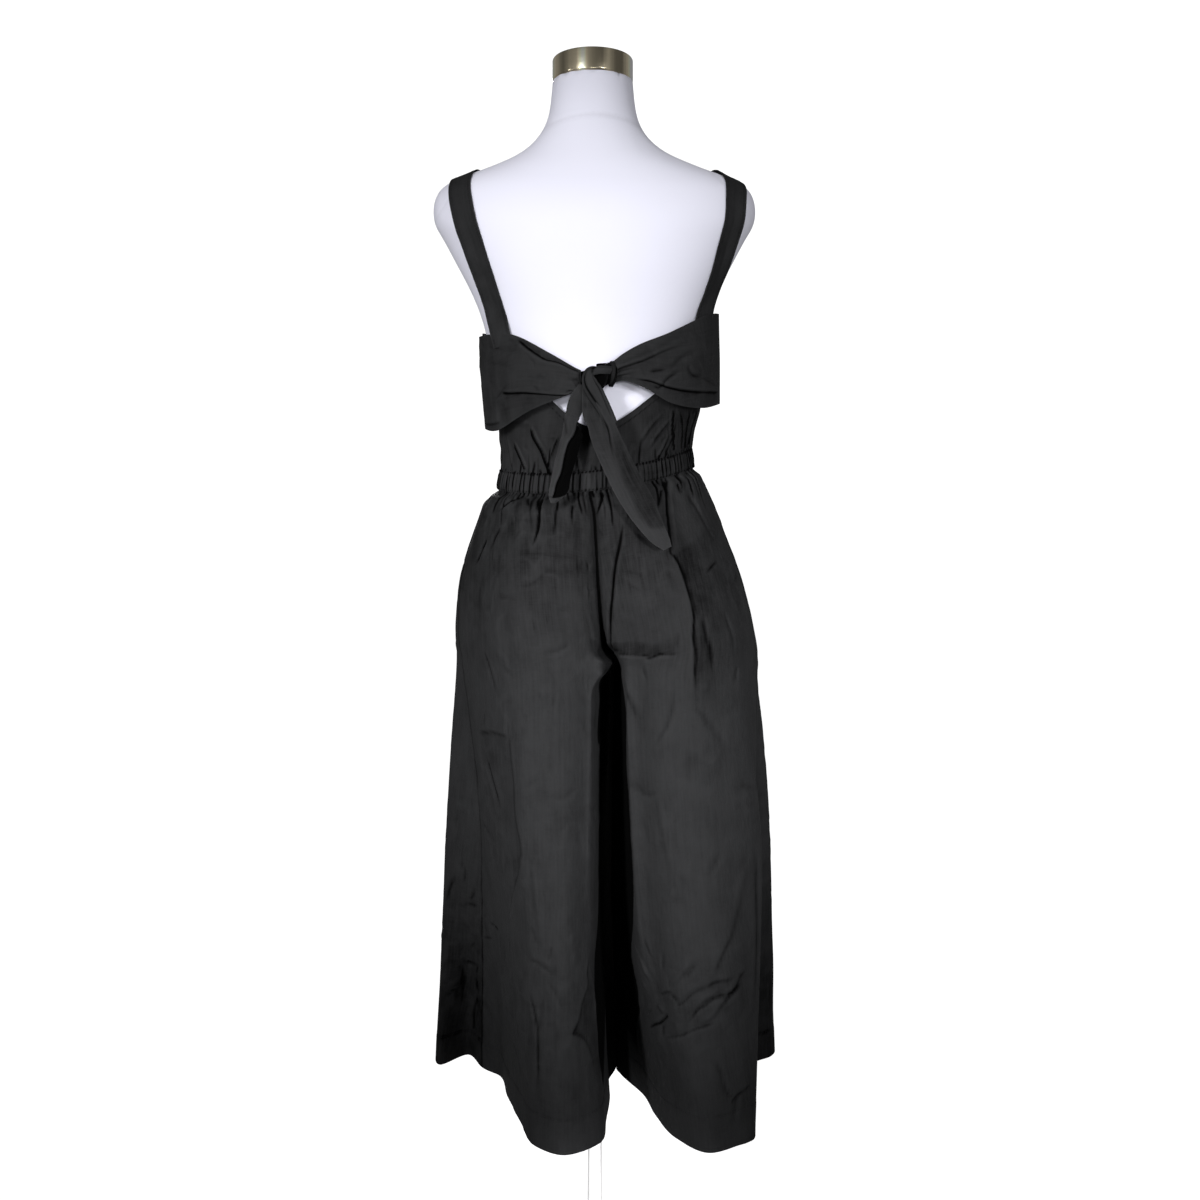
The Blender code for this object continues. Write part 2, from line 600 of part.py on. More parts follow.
def turned(name, profile, finish, collection, steps):
    """A solid of revolution about its own Z, from (radius, height) points that run down its outer side."""
    mesh = bpy.data.meshes.new(name)
    points = [(radius, 0.0, height) for radius, height in profile]
    mesh.from_pydata(points, [(i, i + 1) for i in range(len(points) - 1)], [])
    made = add_object(name, mesh, finish, collection)
    screw = made.modifiers.new("turn", "SCREW")
    screw.steps = steps
    screw.render_steps = steps
    screw.use_merge_vertices = True
    screw.merge_threshold = 0.00005
    return made


def neck_cap(finish, collection):
    """The domed metal cap on the tilted neck."""
    top = FORM[-1]
    profile = [
        (0, CAP_HEIGHT),
        (CAP_RADIUS * 0.55, CAP_HEIGHT - 0.4 * MM),
        (CAP_RADIUS - CAP_EDGE, CAP_HEIGHT - 1.2 * MM),
        (CAP_RADIUS, CAP_HEIGHT - CAP_EDGE - 1.2 * MM),
        (CAP_RADIUS, 0),
        (0, 0),
    ]
    made = turned("neck_cap", profile, finish, collection, 40)
    made.location = (top.centre * MM, (top.front - top.back) / 2 * MM, top.z * MM)
    made.location.z += SEAM_GAP
    made.rotation_euler.x = -NECK_TILT
    return made


def stand(steel, collection):
    """The pole, from the form's flat bottom into the hub, and the weighted disc base."""
    pole_top = FORM[0].z * MM - SEAM_GAP
    pole_low = HUB_TOP + SEAM_GAP
    bpy.ops.mesh.primitive_cylinder_add(
        vertices=24, radius=POLE_RADIUS, depth=pole_top - pole_low, location=(0, 0, (pole_top + pole_low) / 2)
    )
    pole = bpy.context.object
    pole.name = "pole"
    pole.data.materials.append(steel)
    for home in list(pole.users_collection):
        home.objects.unlink(pole)
    collection.objects.link(pole)
    profile = [
        (0, HUB_TOP),
        (HUB_RADIUS - 3 * MM, HUB_TOP),
        (HUB_RADIUS, HUB_TOP - 3 * MM),
        (HUB_RADIUS + 1 * MM, BASE_CROWN + 6 * MM),
        (HUB_RADIUS + 8 * MM, BASE_CROWN),
        (BASE_RADIUS * 0.6, BASE_EDGE + 5 * MM),
        (BASE_RADIUS - 6 * MM, BASE_EDGE),
        (BASE_RADIUS - 1 * MM, BASE_EDGE - 3 * MM),
        (BASE_RADIUS, BASE_EDGE - 5 * MM),
        (BASE_RADIUS - 1 * MM, 0),
        (0, 0),
    ]
    turned("base_disc", profile, steel, collection, 48)


def main():
    clear_scene()
    parts = bpy.data.collections.new("jumpsuit_on_dress_form")
    bpy.context.scene.collection.children.link(parts)
    poplin = material("black_poplin", (0.02, 0.02, 0.022), 0.8)
    jersey = material("white_jersey", (0.86, 0.86, 0.9), 0.85)
    brushed = material("brushed_steel", (0.5, 0.47, 0.43), 0.35, 1.0)
    painted = material("white_painted_steel", (0.85, 0.85, 0.85), 0.4)

    torso = form_torso(jersey, parts)
    neck_cap(brushed, parts)
    stand(painted, parts)
    bpy.context.view_layer.update()
    form = surface_of(torso)

    for name, panel in PANELS.items():
        leg_panel(name, panel, poplin, parts)
    waist_casing(poplin, parts)
    bodice_panel("back_bodice", math.pi, 2 * math.pi, scoop_top, poplin, parts)
    bodice_panel("front_bodice", 0, math.pi, bib_top, poplin, parts)
    strap("strap_left", STRAP_LEFT, form, poplin, parts)
    strap("strap_right", STRAP_RIGHT, form, poplin, parts)
    tie("tie_left", TIE_LEFT, poplin, parts)
    tie("tie_right", TIE_RIGHT, poplin, parts)
    knot(poplin, parts)
    tail("tail_long", TAIL_LONG, poplin, parts)
    tail("tail_short", TAIL_SHORT, poplin, parts)


main()
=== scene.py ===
"""Looks of a black wide-leg jumpsuit with a tied back, worn by a limbless dress form on a stand.

Metres, +Z up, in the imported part's own frame: the garment's back faces -Y and the wearer's left is -X.
Tables of shape are in millimetres. Each cloth piece is lofted from its own rows, its folds are pressed
in one by one where they lie, and only then does the cloth get its two faces.
"""

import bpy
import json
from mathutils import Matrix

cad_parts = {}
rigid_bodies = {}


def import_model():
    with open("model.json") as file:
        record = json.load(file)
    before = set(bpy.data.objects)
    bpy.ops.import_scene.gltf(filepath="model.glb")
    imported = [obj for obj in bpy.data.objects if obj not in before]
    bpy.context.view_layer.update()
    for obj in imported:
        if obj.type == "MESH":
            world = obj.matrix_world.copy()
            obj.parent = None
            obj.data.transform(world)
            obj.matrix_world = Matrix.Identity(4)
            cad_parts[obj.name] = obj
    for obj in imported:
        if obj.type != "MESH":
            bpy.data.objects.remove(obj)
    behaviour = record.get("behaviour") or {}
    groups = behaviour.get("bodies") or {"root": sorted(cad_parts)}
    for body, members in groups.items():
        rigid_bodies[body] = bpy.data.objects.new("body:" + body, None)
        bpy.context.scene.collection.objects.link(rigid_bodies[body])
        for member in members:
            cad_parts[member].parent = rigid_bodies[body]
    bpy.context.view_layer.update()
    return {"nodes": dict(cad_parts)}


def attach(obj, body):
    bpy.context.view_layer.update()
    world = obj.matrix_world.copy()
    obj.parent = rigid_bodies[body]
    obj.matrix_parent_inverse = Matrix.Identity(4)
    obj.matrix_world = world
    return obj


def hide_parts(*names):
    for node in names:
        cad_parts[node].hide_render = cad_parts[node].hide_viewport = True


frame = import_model()

import itertools
import json
import logging
import math
from dataclasses import dataclass
from enum import Enum
from typing import Callable, NamedTuple

import bmesh
import bpy
import numpy as np
from mathutils import Vector
from mathutils.bvhtree import BVHTree

Array = np.ndarray
Object = bpy.types.Object
Material = bpy.types.Material
Node = bpy.types.Node
Socket = bpy.types.NodeSocket
Colour = tuple[float, float, float]
Point = tuple[float, float, float]
Pair = tuple[float, float]
log = logging.getLogger("jumpsuit")

MM = 0.001
CLOTH = 0.55 * MM  # wall of one layer of poplin
DOUBLE = 1.1 * MM  # wall of two layers sewn together
ROOT = "root"

# Waist seam and its elastic casing: both dip at the left side and rise at the right
CASING_LOW = 1045 * MM
CASING_HEIGHT = 24 * MM
WAIST_SLANT = 0.11
WAIST_BOW = 0.65


# ---------------------------------------------------------------- curves and noise


def level_slopes(knots: Array, values: Array) -> Array:
    """Slopes at the knots that keep a curve between its values, with no swing past them.

    Args:
        knots: places of the values, rising.
        values: one row for each knot.

    Returns:
        One row of slopes for each knot.
    """
    shape = (-1,) + (1,) * (values.ndim - 1)
    span = np.diff(knots).reshape(shape)
    rise = np.diff(values, axis=0) / span
    before, after = rise[:-1], rise[1:]
    near, far = 2 * span[1:] + span[:-1], span[1:] + 2 * span[:-1]
    same_way = before * after > 0
    safe_before = np.where(same_way, before, 1.0)
    safe_after = np.where(same_way, after, 1.0)
    inner = np.where(same_way, (near + far) / (near / safe_before + far / safe_after), 0.0)
    return np.concatenate([rise[:1], inner, rise[-1:]])


def spline(knots: Array, values: Array, places: Array, level: bool = False) -> Array:
    """Points at some places on a smooth curve that passes through the values at the knots.

    Args:
        knots: places of the values, rising.
        values: one row for each knot.
        places: where the curve is wanted.
        level: keep the curve between its values.

    Returns:
        One row for each place.
    """
    knots = np.asarray(knots, float)
    values = np.asarray(values, float)
    places = np.atleast_1d(np.asarray(places, float))
    slopes = level_slopes(knots, values) if level else np.gradient(values, knots, axis=0)
    start = np.clip(np.searchsorted(knots, places, side="right") - 1, 0, len(knots) - 2)
    span = knots[start + 1] - knots[start]
    t = (places - knots[start]) / span
    shape = (-1,) + (1,) * (values.ndim - 1)
    t = t.reshape(shape)
    span = span.reshape(shape)
    return (
        (2 * t**3 - 3 * t**2 + 1) * values[start]
        + (t**3 - 2 * t**2 + t) * span * slopes[start]
        + (3 * t**2 - 2 * t**3) * values[start + 1]
        + (t**3 - t**2) * span * slopes[start + 1]
    )


def smoothstep(value: Array, low: float, high: float) -> Array:
    """0 up to low, 1 from high on and smooth between; with low above high it falls instead."""
    t = np.clip((value - low) / (high - low), 0.0, 1.0)
    return t * t * (3 - 2 * t)


def mixed(low: Array | float, high: Array | float, share: Array | float) -> Array:
    """Low where a share is 0, high where it is 1 and even between."""
    return low + (high - low) * share


def bump(value: Array) -> Array:
    """A bell, 1 at 0 and close to 0 from 2 on."""
    return np.exp(-np.square(value))


def lengths_of(line: Array) -> Array:
    """How far each point of a line lies along it, in metres."""
    return np.concatenate([[0.0], np.cumsum(np.linalg.norm(np.diff(line, axis=0), axis=1))])


def evened(line: Array, step: float) -> Array:
    """A smooth curve through a line's points, with points a step apart."""
    along = lengths_of(line)
    return spline(along, line, np.linspace(0, along[-1], max(3, int(along[-1] / step) + 2)))


def waist_line(x: Array, low: float) -> Array:
    """Height of the slanting waist seam over x, where its middle is at low."""
    return low + WAIST_SLANT * x + WAIST_BOW * x * x


def rows_of(kind: Callable, table: str) -> tuple:
    """Reads a table with one record to a line.

    Args:
        kind: what a line becomes.
        table: its fields in order, with a comma between the parts of a tuple.

    Returns:
        The records.
    """
    return tuple(kind(*cells_of(line)) for line in table.strip().splitlines())


def cells_of(line: str) -> tuple:
    """A line's cells, each as a word, a number or a tuple of numbers.

    Args:
        line: words and numbers, with a comma between the parts of a tuple.

    Returns:
        The cells, in order.
    """

    def cell(text: str) -> str | float | tuple[float, ...]:
        """One cell."""
        if text.replace("_", "").isalpha():
            return text
        return tuple(map(float, text.split(","))) if "," in text else float(text)

    return tuple(map(cell, line.split()))


class Crinkle:
    """Smooth random heights over space, the same on each run."""

    CELLS = 24

    def __init__(self, seed: int) -> None:
        """Fills the lattice of heights."""
        self.lattice = np.random.default_rng(seed).uniform(-1, 1, (self.CELLS,) * 3)

    def at(self, points: Array, size: float | tuple[float, float, float]) -> Array:
        """Height at points, from -1 to 1.

        Args:
            points: an array whose last axis is x, y, z in metres.
            size: the width of one swell in metres, or one for each axis.

        Returns:
            An array without the last axis.
        """
        place = points / np.asarray(size)
        cell = np.floor(place).astype(int)
        part = place - cell
        part = part * part * (3 - 2 * part)
        height = np.zeros(points.shape[:-1])
        for corner in itertools.product((0, 1), repeat=3):
            share = np.where(corner, part, 1 - part).prod(axis=-1)
            i, j, k = np.moveaxis((cell + corner) % self.CELLS, -1, 0)
            height += share * self.lattice[i, j, k]
        return height

    def ridges(self, points: Array, size: float | tuple[float, float, float]) -> Array:
        """Crisp winding ridges, 1 on each and 0 between them."""
        return (1 - np.abs(self.at(points, size))) ** 6


SWELLS = Crinkle(7)
CREASING = Crinkle(23)


# ---------------------------------------------------------------- folds


class Kind(Enum):
    """What a crease does to the cloth."""

    TROUGH = "trough"  # a fold that runs in
    RIDGE = "ridge"  # a fold that stands out
    LEDGE = "ledge"  # the cloth on one side lies over the other
    SHADE = "shade"  # no shape: on one side the cloth is painted darker, a painted shade


@dataclass(frozen=True)
class Crease:
    """One fold pressed into the cloth, with painted shade and highlight along it.

    Attributes:
        depth: how deep it is (mm), or how dark a painted shade is, from 0 to 1.
        width: from its line to where it has mostly gone (mm).
        path: its line, as (x, z) on the face of the cloth that shows (mm).
        kind: what it does.
        ends: shares of its length over which it comes and goes.
        side: the side with the higher lip, the upper layer or the painted shade; 1 is left of the line's
            way in
        x and z.
        fall: how far a ledge takes to come back to level (mm).
    """

    depth: float
    width: float
    path: tuple[Pair, ...]
    kind: Kind
    ends: Pair
    side: float = 1
    fall: float = 14.0

    def height(self, offset: Array) -> Array:
        """Height of the cloth at offsets from the line (m), with the chosen side positive.

        Args:
            offset: how far points are from its line, positive on the chosen side (m).

        Returns:
            Heights in metres.
        """
        depth = self.depth * MM
        q = offset / (self.width * MM)
        if self.kind is Kind.TROUGH:
            lips = 0.34 * bump((q - 1.9) / 1.3) + 0.16 * bump((q + 1.9) / 1.3)
            return depth * (lips - bump(q))
        if self.kind is Kind.RIDGE:
            return depth * (bump(q) - 0.2 * bump((q - 2) / 1.2) - 0.2 * bump((q + 2) / 1.2))
        if self.kind is Kind.LEDGE:
            upper = smoothstep(q, -0.7, 0.7) * np.exp(-np.maximum(offset, 0) / (self.fall * MM))
            return depth * (upper - 0.3 * bump((q + 1.1) / 0.8))
        return np.zeros_like(offset)

    def tone(self, offset: Array) -> Array:
        """How much painted shade (-1) or painted highlight (1) the cloth gets at offsets from the line (m).

        Args:
            offset: how far points are from its line, positive on the chosen side (m).

        Returns:
            The painted shade or highlight at each point.
        """
        # painted shade in a trough, beside a ridge, under a ledge and on a shade's side; painted highlight
        # on a ridge, a lip and a ledge's upper layer
        q = offset / (0.62 * self.width * MM)
        strong = min(1.2, (self.depth / 3.4) ** 2.2)
        if self.kind is Kind.TROUGH:
            return strong * (0.2 * bump((q - 2.4) / 1.4) - 1.4 * bump(q))
        if self.kind is Kind.RIDGE:
            return 0.4 * strong * bump(q) - 0.4 * strong * bump((q + 2) / 1.1)
        if self.kind is Kind.LEDGE:
            lee = smoothstep(q, 0.0, -1.5) * np.exp(np.minimum(offset, 0) / (self.fall * MM))
            return strong * (0.3 * bump((q - 1.6) / 0.9) - 1.2 * bump((q + 0.4) / 0.9) - 0.4 * lee)
        q = offset / (self.width * MM)
        far = offset / (self.fall * MM)
        return -self.depth * smoothstep(q, -1.0, 1.0) * (1 - smoothstep(far, 0.75, 1.25))

    @property
    def reach(self) -> float:
        """How far from its line it changes the cloth (m)."""
        return max(5 * self.width, {Kind.LEDGE: 3.5, Kind.SHADE: 1.4}.get(self.kind, 0) * self.fall) * MM


def creases_of(table: str) -> tuple[Crease, ...]:
    """Reads a table of creases.

    Args:
        table: one crease to a line: its kind, depth, width and both ends, then side and fall for a ledge
            or a shade, then its path as x,z.

    Returns:
        The creases, in order.
    """

    def crease(kind: str, depth: float, width: float, start: float, end: float, *rest: float) -> Crease:
        """One crease."""
        path = tuple(cell for cell in rest if isinstance(cell, tuple))
        return Crease(depth, width, path, Kind(kind), (start, end), *rest[: len(rest) - len(path)])

    return rows_of(crease, table)


class Sheet:
    """A panel of cloth as rows of points, shaped before it becomes a mesh with two faces."""

    def __init__(self, grid: Array, outward: int, facing: int = -1, ring: bool = False) -> None:
        """Lays the cloth flat in its own coordinates.

        Args:
            grid: rows x columns x 3, in metres.
            outward: 1 where rows x columns turn with the outer face, or else -1.
            facing: -1 where folds are placed from behind, 1 from the front.
            ring: the last column joins the first.
        """
        self.base = grid
        self.outward = outward
        self.facing = facing
        self.ring = ring
        self.relief = np.zeros(grid.shape[:2])
        # painted shading: below 0 painted shade in folds and seams, above 0 painted highlight on crests and
        # edges
        self.tone = np.zeros(grid.shape[:2])
        across = np.linalg.norm(np.diff(grid, axis=1), axis=2)
        across = np.pad(np.cumsum(across, axis=1), ((0, 0), (1, 0)))
        self.from_first = across
        self.from_last = across[:, -1:] - across
        down = np.linalg.norm(np.diff(grid, axis=0), axis=2)
        self.down = np.pad(np.cumsum(down, axis=0), ((1, 0), (0, 0)))
        middle = grid.shape[1] // 2
        self.flat = np.stack([across - across[:, middle : middle + 1], self.down], axis=-1)
        self.grain = np.maximum(np.gradient(across, axis=1), np.gradient(self.down, axis=0))
        self.normals = self.face_normals(grid)
        self.hand = self.handedness()

    @classmethod
    def turned(cls, grid: Array, row: int, column: int, out: Array, facing: int = -1) -> "Sheet":
        """Lays cloth out with its outer face turned along a direction at one of its points."""
        sheet = cls(grid, 1, facing)
        return sheet if sheet.normals[row, column] @ out > 0 else cls(grid, -1, facing)

    def face_normals(self, grid: Array) -> Array:
        """Unit normals of the outer face at each point.

        Args:
            grid: the points, in rows.

        Returns:
            One normal for each point.
        """
        wide = np.concatenate([grid[:, -1:], grid, grid[:, :1]], axis=1) if self.ring else grid
        normals = np.cross(np.gradient(wide, axis=1), np.gradient(wide, axis=0))
        if self.ring:
            normals = normals[:, 1:-1]
        size = np.linalg.norm(normals, axis=2, keepdims=True)
        return self.outward * normals / np.maximum(size, 1e-12)

    def handedness(self) -> int:
        """1 where the flat coordinates turn the same way as x and z do."""
        row, column = (n // 2 for n in self.base.shape[:2])
        wide = self.base[row, column + 1] - self.base[row, column]
        tall = self.base[row + 1, column] - self.base[row, column]
        return 1 if wide[0] * tall[2] - wide[2] * tall[0] > 0 else -1

    def nearest(self, x: float, z: float) -> tuple[int, int]:
        """Row and column of the point that shows at (x, z), in metres.

        Args:
            x: to the right (m).
            z: up (m).

        Returns:
            The row and the column.
        """
        gap = np.hypot(self.base[..., 0] - x, self.base[..., 2] - z)
        near = gap < max(gap.min() + 1 * MM, 4 * MM)
        depth = -self.facing * self.base[..., 1]
        layer = near & (depth < depth[near].min() + 8 * MM)
        row, column = np.unravel_index(np.argmin(np.where(layer, gap, np.inf)), gap.shape)
        return int(row), int(column)

    def press(self, *creases: Crease) -> "Sheet":
        """Presses creases in along their lines.

        Args:
            creases: placed by the side of the cloth that shows.

        Returns:
            This sheet.
        """
        for crease in creases:
            places = [self.nearest(x * MM, z * MM) for x, z in crease.path]
            knots = np.array([self.flat[place] for place in dict.fromkeys(places)])
            if len(knots) < 2:
                log.warning("a crease from %s has no length here", crease.path[0])
                continue
            self.press_along(crease, evened(knots, 2 * MM))
        return self

    def press_along(self, crease: Crease, line: Array) -> None:
        """Presses one crease in along a line of flat points.

        Args:
            crease: the crease, whose own path isn't read.
            line: flat points, evenly spaced.
        """
        low, high = line.min(axis=0) - crease.reach, line.max(axis=0) + crease.reach
        rows, columns = np.nonzero(((self.flat > low) & (self.flat < high)).all(axis=2))
        offset, along = self.offsets(self.flat[rows, columns], line)
        offset *= self.hand * crease.side
        offset *= np.minimum(1, crease.width * MM / (0.95 * self.grain[rows, columns]))
        start, end = (max(share, 0.001) for share in crease.ends)
        fade = smoothstep(along, 0, start) * smoothstep(1 - along, 0, end)
        self.relief[rows, columns] += fade * crease.height(offset)
        self.tone[rows, columns] += fade * crease.tone(offset)

    def scatter(self, seed: int, count: int, depth: Pair, length: Pair) -> "Sheet":
        """Adds short faint creases where the cloth was crumpled, most of them lengthwise.

        Args:
            seed: for their places and sizes.
            count: how many.
            depth: the least and the most (mm).
            length: the least and the most (mm).

        Returns:
            This sheet.
        """
        draw = np.random.default_rng(seed)
        part = np.linspace(-0.5, 0.5, 7)[:, None]
        for _ in range(count):
            row, column = (int(draw.integers(4, size - 4)) for size in self.relief.shape)
            turn, bend = draw.normal(math.pi / 2, 0.75), draw.uniform(-0.5, 0.5)
            way = np.array((math.cos(turn), math.sin(turn)))
            bow = bend * (0.25 - part**2) * way[::-1] * (-1, 1)
            line = self.flat[row, column] + draw.uniform(*length) * MM * (part * way + bow)
            kind = (Kind.TROUGH, Kind.LEDGE, Kind.RIDGE)[int(draw.choice(3, p=(0.45, 0.35, 0.2)))]
            ends = tuple(draw.uniform(0.2, 0.6, 2))
            crease = Crease(draw.uniform(*depth), draw.uniform(1.7, 3.0), (), kind, ends, fall=9)
            self.press_along(crease, line)
        return self

    @staticmethod
    def offsets(points: Array, line: Array) -> tuple[Array, Array]:
        """Where points lie beside a line.

        Args:
            points: flat points.
            line: flat points of the line.

        Returns:
            Their distance from the line, positive on its left, and how far along it they are from 0 to 1.
        """
        span = np.diff(line, axis=0)
        size = np.linalg.norm(span, axis=1)
        start = np.concatenate([[0], np.cumsum(size)[:-1]])
        away = points[:, None] - line[None, :-1]
        part = np.clip((away * span).sum(axis=2) / size**2, 0, 1)
        gap = away - part[..., None] * span
        distance = np.linalg.norm(gap, axis=2)
        pick = np.argmin(distance, axis=1)
        rows = np.arange(len(points))
        turn = span[pick, 0] * gap[rows, pick, 1] - span[pick, 1] * gap[rows, pick, 0]
        along = (start[pick] + part[rows, pick] * size[pick]) / size.sum()
        return np.where(turn < 0, -1, 1) * distance[rows, pick], along

    def gather(self, seed: int, pitch: float, depth: Pair, length: Pair, dark: float = 1.0) -> "Sheet":
        """Runs short irregular folds in from a gathered edge, each with painted shade down it.

        Args:
            seed: for the folds' places and sizes.
            pitch: from one fold to the next along the edge (mm).
            depth: the least and the most (mm).
            length: the least and the most (mm).
            dark: how dark their painted shade is.

        Returns:
            This sheet.
        """
        draw = np.random.default_rng(seed)
        place = self.from_first[:1]
        total = place[0, -1]
        run = self.down
        count = max(1, round(total / (pitch * MM)))
        for index in range(count):
            middle = (index + 0.5 + draw.uniform(-0.3, 0.3)) * total / count
            deep = draw.uniform(*depth) * MM
            long = mixed(*length, draw.uniform() ** 2) * MM
            width = max(1.2, pitch * draw.uniform(0.14, 0.22)) * MM
            sway, curl = draw.uniform(-0.5, 0.5, 2) * pitch * MM
            part = np.clip(run / long, 0, 1)
            q = (place - middle - sway * part - curl * part * (1 - part)) / (width * (1 + 0.4 * part))
            fade = (1 - part) ** 0.9
            self.relief += deep * fade * (0.3 * bump((np.abs(q) - 1.9) / 1.1) - bump(q))
            shade = 1.5 * bump(q / 0.75) - 0.2 * bump((q - 2) / 1.1)
            # painted shade down each fold, strongest near the gathered edge
            self.tone -= dark * min(1.2, (deep / (2 * MM)) ** 1.5) * (1 - part) ** 0.5 * shade
        return self

    def ruffle(self, swell: float, crisp: float, tall: float = 3.0) -> "Sheet":
        """Gives the cloth its soft unevenness and its small crisp creases, with painted highlight and
        painted shade along the creases.

        Args:
            swell: height of the soft swells (mm).
            crisp: height of the small creases (mm).
            tall: how much longer the soft swells are than wide.

        Returns:
            This sheet.
        """
        wide = 34 * MM
        self.relief += swell * MM * SWELLS.at(self.base, (wide, wide, wide * tall))
        small = CREASING.ridges(self.base, (17 * MM, 17 * MM, 24 * MM))
        small -= 0.7 * CREASING.ridges(self.base + 0.5, (26 * MM, 26 * MM, 19 * MM))
        patches = smoothstep(SWELLS.at(self.base + 0.3, 60 * MM), -0.15, 0.45)
        self.relief += crisp * MM * small * patches
        # painted highlight along one set of small creases, painted shade along the other
        self.tone += 0.22 * small * patches
        return self

    def seam(self, distance: Array, depth: Array | float = 1.1, width: Array | float = 2.0) -> "Sheet":
        """Draws the cloth in along a seam, with small puckers and painted shade along it.

        Args:
            distance: of each point from the seam (m).
            depth: how far it is drawn in (mm).
            width: from the seam to where it has mostly gone (mm).

        Returns:
            This sheet.
        """
        near = bump(distance / (width * MM))
        wide = bump(distance / (5 * width * MM))
        self.relief -= depth * MM * near
        self.relief += 0.5 * MM * wide * SWELLS.at(self.base, (60 * MM, 60 * MM, 11 * MM))
        # painted shade along the seam, deeper where it is drawn in further
        self.tone -= (0.15 + 0.3 * depth) * near
        return self

    def stitch_line(self, distance: Array, along: Array, depth: float = 0.5, pitch: float = 3.4) -> "Sheet":
        """Draws the cloth in at each stitch of a line, with painted shade in each dimple.

        Args:
            distance: of each point from the line (m).
            along: how far along the line each point is (m).
            depth: how far the deepest stitch draws it in (mm).
            pitch: from stitch to stitch (mm).

        Returns:
            This sheet.
        """
        dimple = 0.55 + 0.45 * np.cos(2 * math.pi * along / (pitch * MM))
        pull = 0.75 + 0.25 * SWELLS.at(self.base, 23 * MM)
        self.relief -= depth * MM * bump(distance / (1.2 * MM)) * dimple * pull
        # painted shade in each stitch's dimple
        self.tone -= (0.4 + 0.7 * depth) * bump(distance / (1.1 * MM)) * dimple * pull
        return self

    @property
    def points(self) -> Array:
        """Points of the middle of the cloth, with every fold in it."""
        return self.base + self.normals * self.relief[..., None]

    @property
    def from_end(self) -> Array:
        """How far each point is from the last row (m)."""
        return self.down[-1:] - self.down

    def hem(self, width: float, depth: float, lift: float, over: float) -> "Sheet":
        """Stitches a hem across the last rows and lifts the cloth below the stitches, as two layers would
        stand out.

        Args:
            width: from the edge to the hem's stitches (m).
            depth: how far a stitch draws the cloth in (mm).
            lift: how far the two layers stand out (mm).
            over: how far they take to rise (mm).

        Returns:
            This sheet.
        """
        self.stitch_line(self.from_end - width, self.from_first, depth)
        self.relief += lift * MM * smoothstep(width - self.from_end, 0, over * MM)
        return self

    def hem_run(self, width: float) -> tuple[Array, Array]:
        """Points of the outer face along the hem's stitches, and its normals there."""
        row = int(np.argmin(np.abs(self.from_end[:, self.relief.shape[1] // 2] - width)))
        points = self.points
        out = self.face_normals(points)[row]
        return points[row] + out * CLOTH / 2, out

    def shell(self, name: str, wall: float, finish: Material) -> Object:
        """Makes the cloth's mesh: an outer face, an inner face and the edges between them.

        Args:
            name: of the piece.
            wall: from face to face (m).
            finish: its material.

        Returns:
            The piece.
        """
        middle = self.points
        out = self.face_normals(middle) * wall / 2
        rows, columns = middle.shape[:2]
        count = rows * columns
        row, column = np.meshgrid(np.arange(rows - 1), np.arange(columns - (not self.ring)), indexing="ij")
        after = (column + 1) % columns
        corners = ((row, column), (row, after), (row + 1, after), (row + 1, column))
        quads = np.stack([r * columns + c for r, c in corners], axis=-1).reshape(-1, 4)
        flat = self.flat
        if self.ring:
            close = np.linalg.norm(middle[:, :1] - middle[:, -1:], axis=2)
            flat = np.concatenate([flat, flat[:, -1:] + np.stack([close, 0 * close], axis=-1)], axis=1)
        corners = ((row, column), (row, column + 1), (row + 1, column + 1), (row + 1, column))
        cut = np.stack([flat[corner] for corner in corners], axis=2).reshape(-1, 4, 2)
        if self.outward < 0:
            quads, cut = quads[:, ::-1], cut[:, ::-1]
        rim = self.open_edges(quads, count)
        sides = np.concatenate([rim[:, ::-1], rim + count], axis=1)
        mesh = bpy.data.meshes.new(name)
        both = np.concatenate([middle + out, middle - out]).reshape(-1, 3)
        mesh.from_pydata(both.tolist(), [], np.concatenate([quads, quads[:, ::-1] + count, sides]).tolist())
        layer = mesh.uv_layers.new(name="cut")
        cuts = np.concatenate([cut, cut[:, ::-1], self.flat.reshape(-1, 2)[sides % count]])
        layer.data.foreach_set("uv", cuts.astype(np.float32).ravel())
        # the painted shade and highlight go to the mesh as a point attribute for the poplin's colour
        tone = mesh.attributes.new("tone", "FLOAT", "POINT")
        shown = np.clip(self.tone, -1.5, 1).ravel()
        tone.data.foreach_set("value", np.concatenate([shown, shown]).astype(np.float32))
        mesh.shade_smooth()
        edges = np.empty(len(mesh.edges) * 2, np.int32)
        mesh.edges.foreach_get("vertices", edges)
        sharp = self.shared(edges.reshape(-1, 2), np.concatenate([rim, rim[:, ::-1]]), count)
        mark = mesh.attributes.new("sharp_edge", "BOOLEAN", "EDGE")
        mark.data.foreach_set("value", sharp)
        mesh.materials.append(finish)
        return add_object(name, mesh)

    @staticmethod
    def shared(edges: Array, others: Array, count: int) -> Array:
        """Which edges of either face of the cloth are among others, given on one of the faces."""
        same_face = edges[:, 0] // count == edges[:, 1] // count
        code = (count, 1)
        return same_face & np.isin(edges.astype(np.int64) % count @ code, others.astype(np.int64) @ code)

    def open_edges(self, quads: Array, count: int) -> Array:
        """Edges with a face on one side only, each in the direction that its face gives it."""
        edges = np.concatenate([quads[:, [corner, (corner + 1) % 4]] for corner in range(4)])
        return edges[~self.shared(edges, edges[:, ::-1], count)]


def add_object(name: str, data: bpy.types.ID) -> Object:
    """Puts new data in the scene under a name."""
    made = bpy.data.objects.new(name, data)
    bpy.context.scene.collection.objects.link(made)
    return made


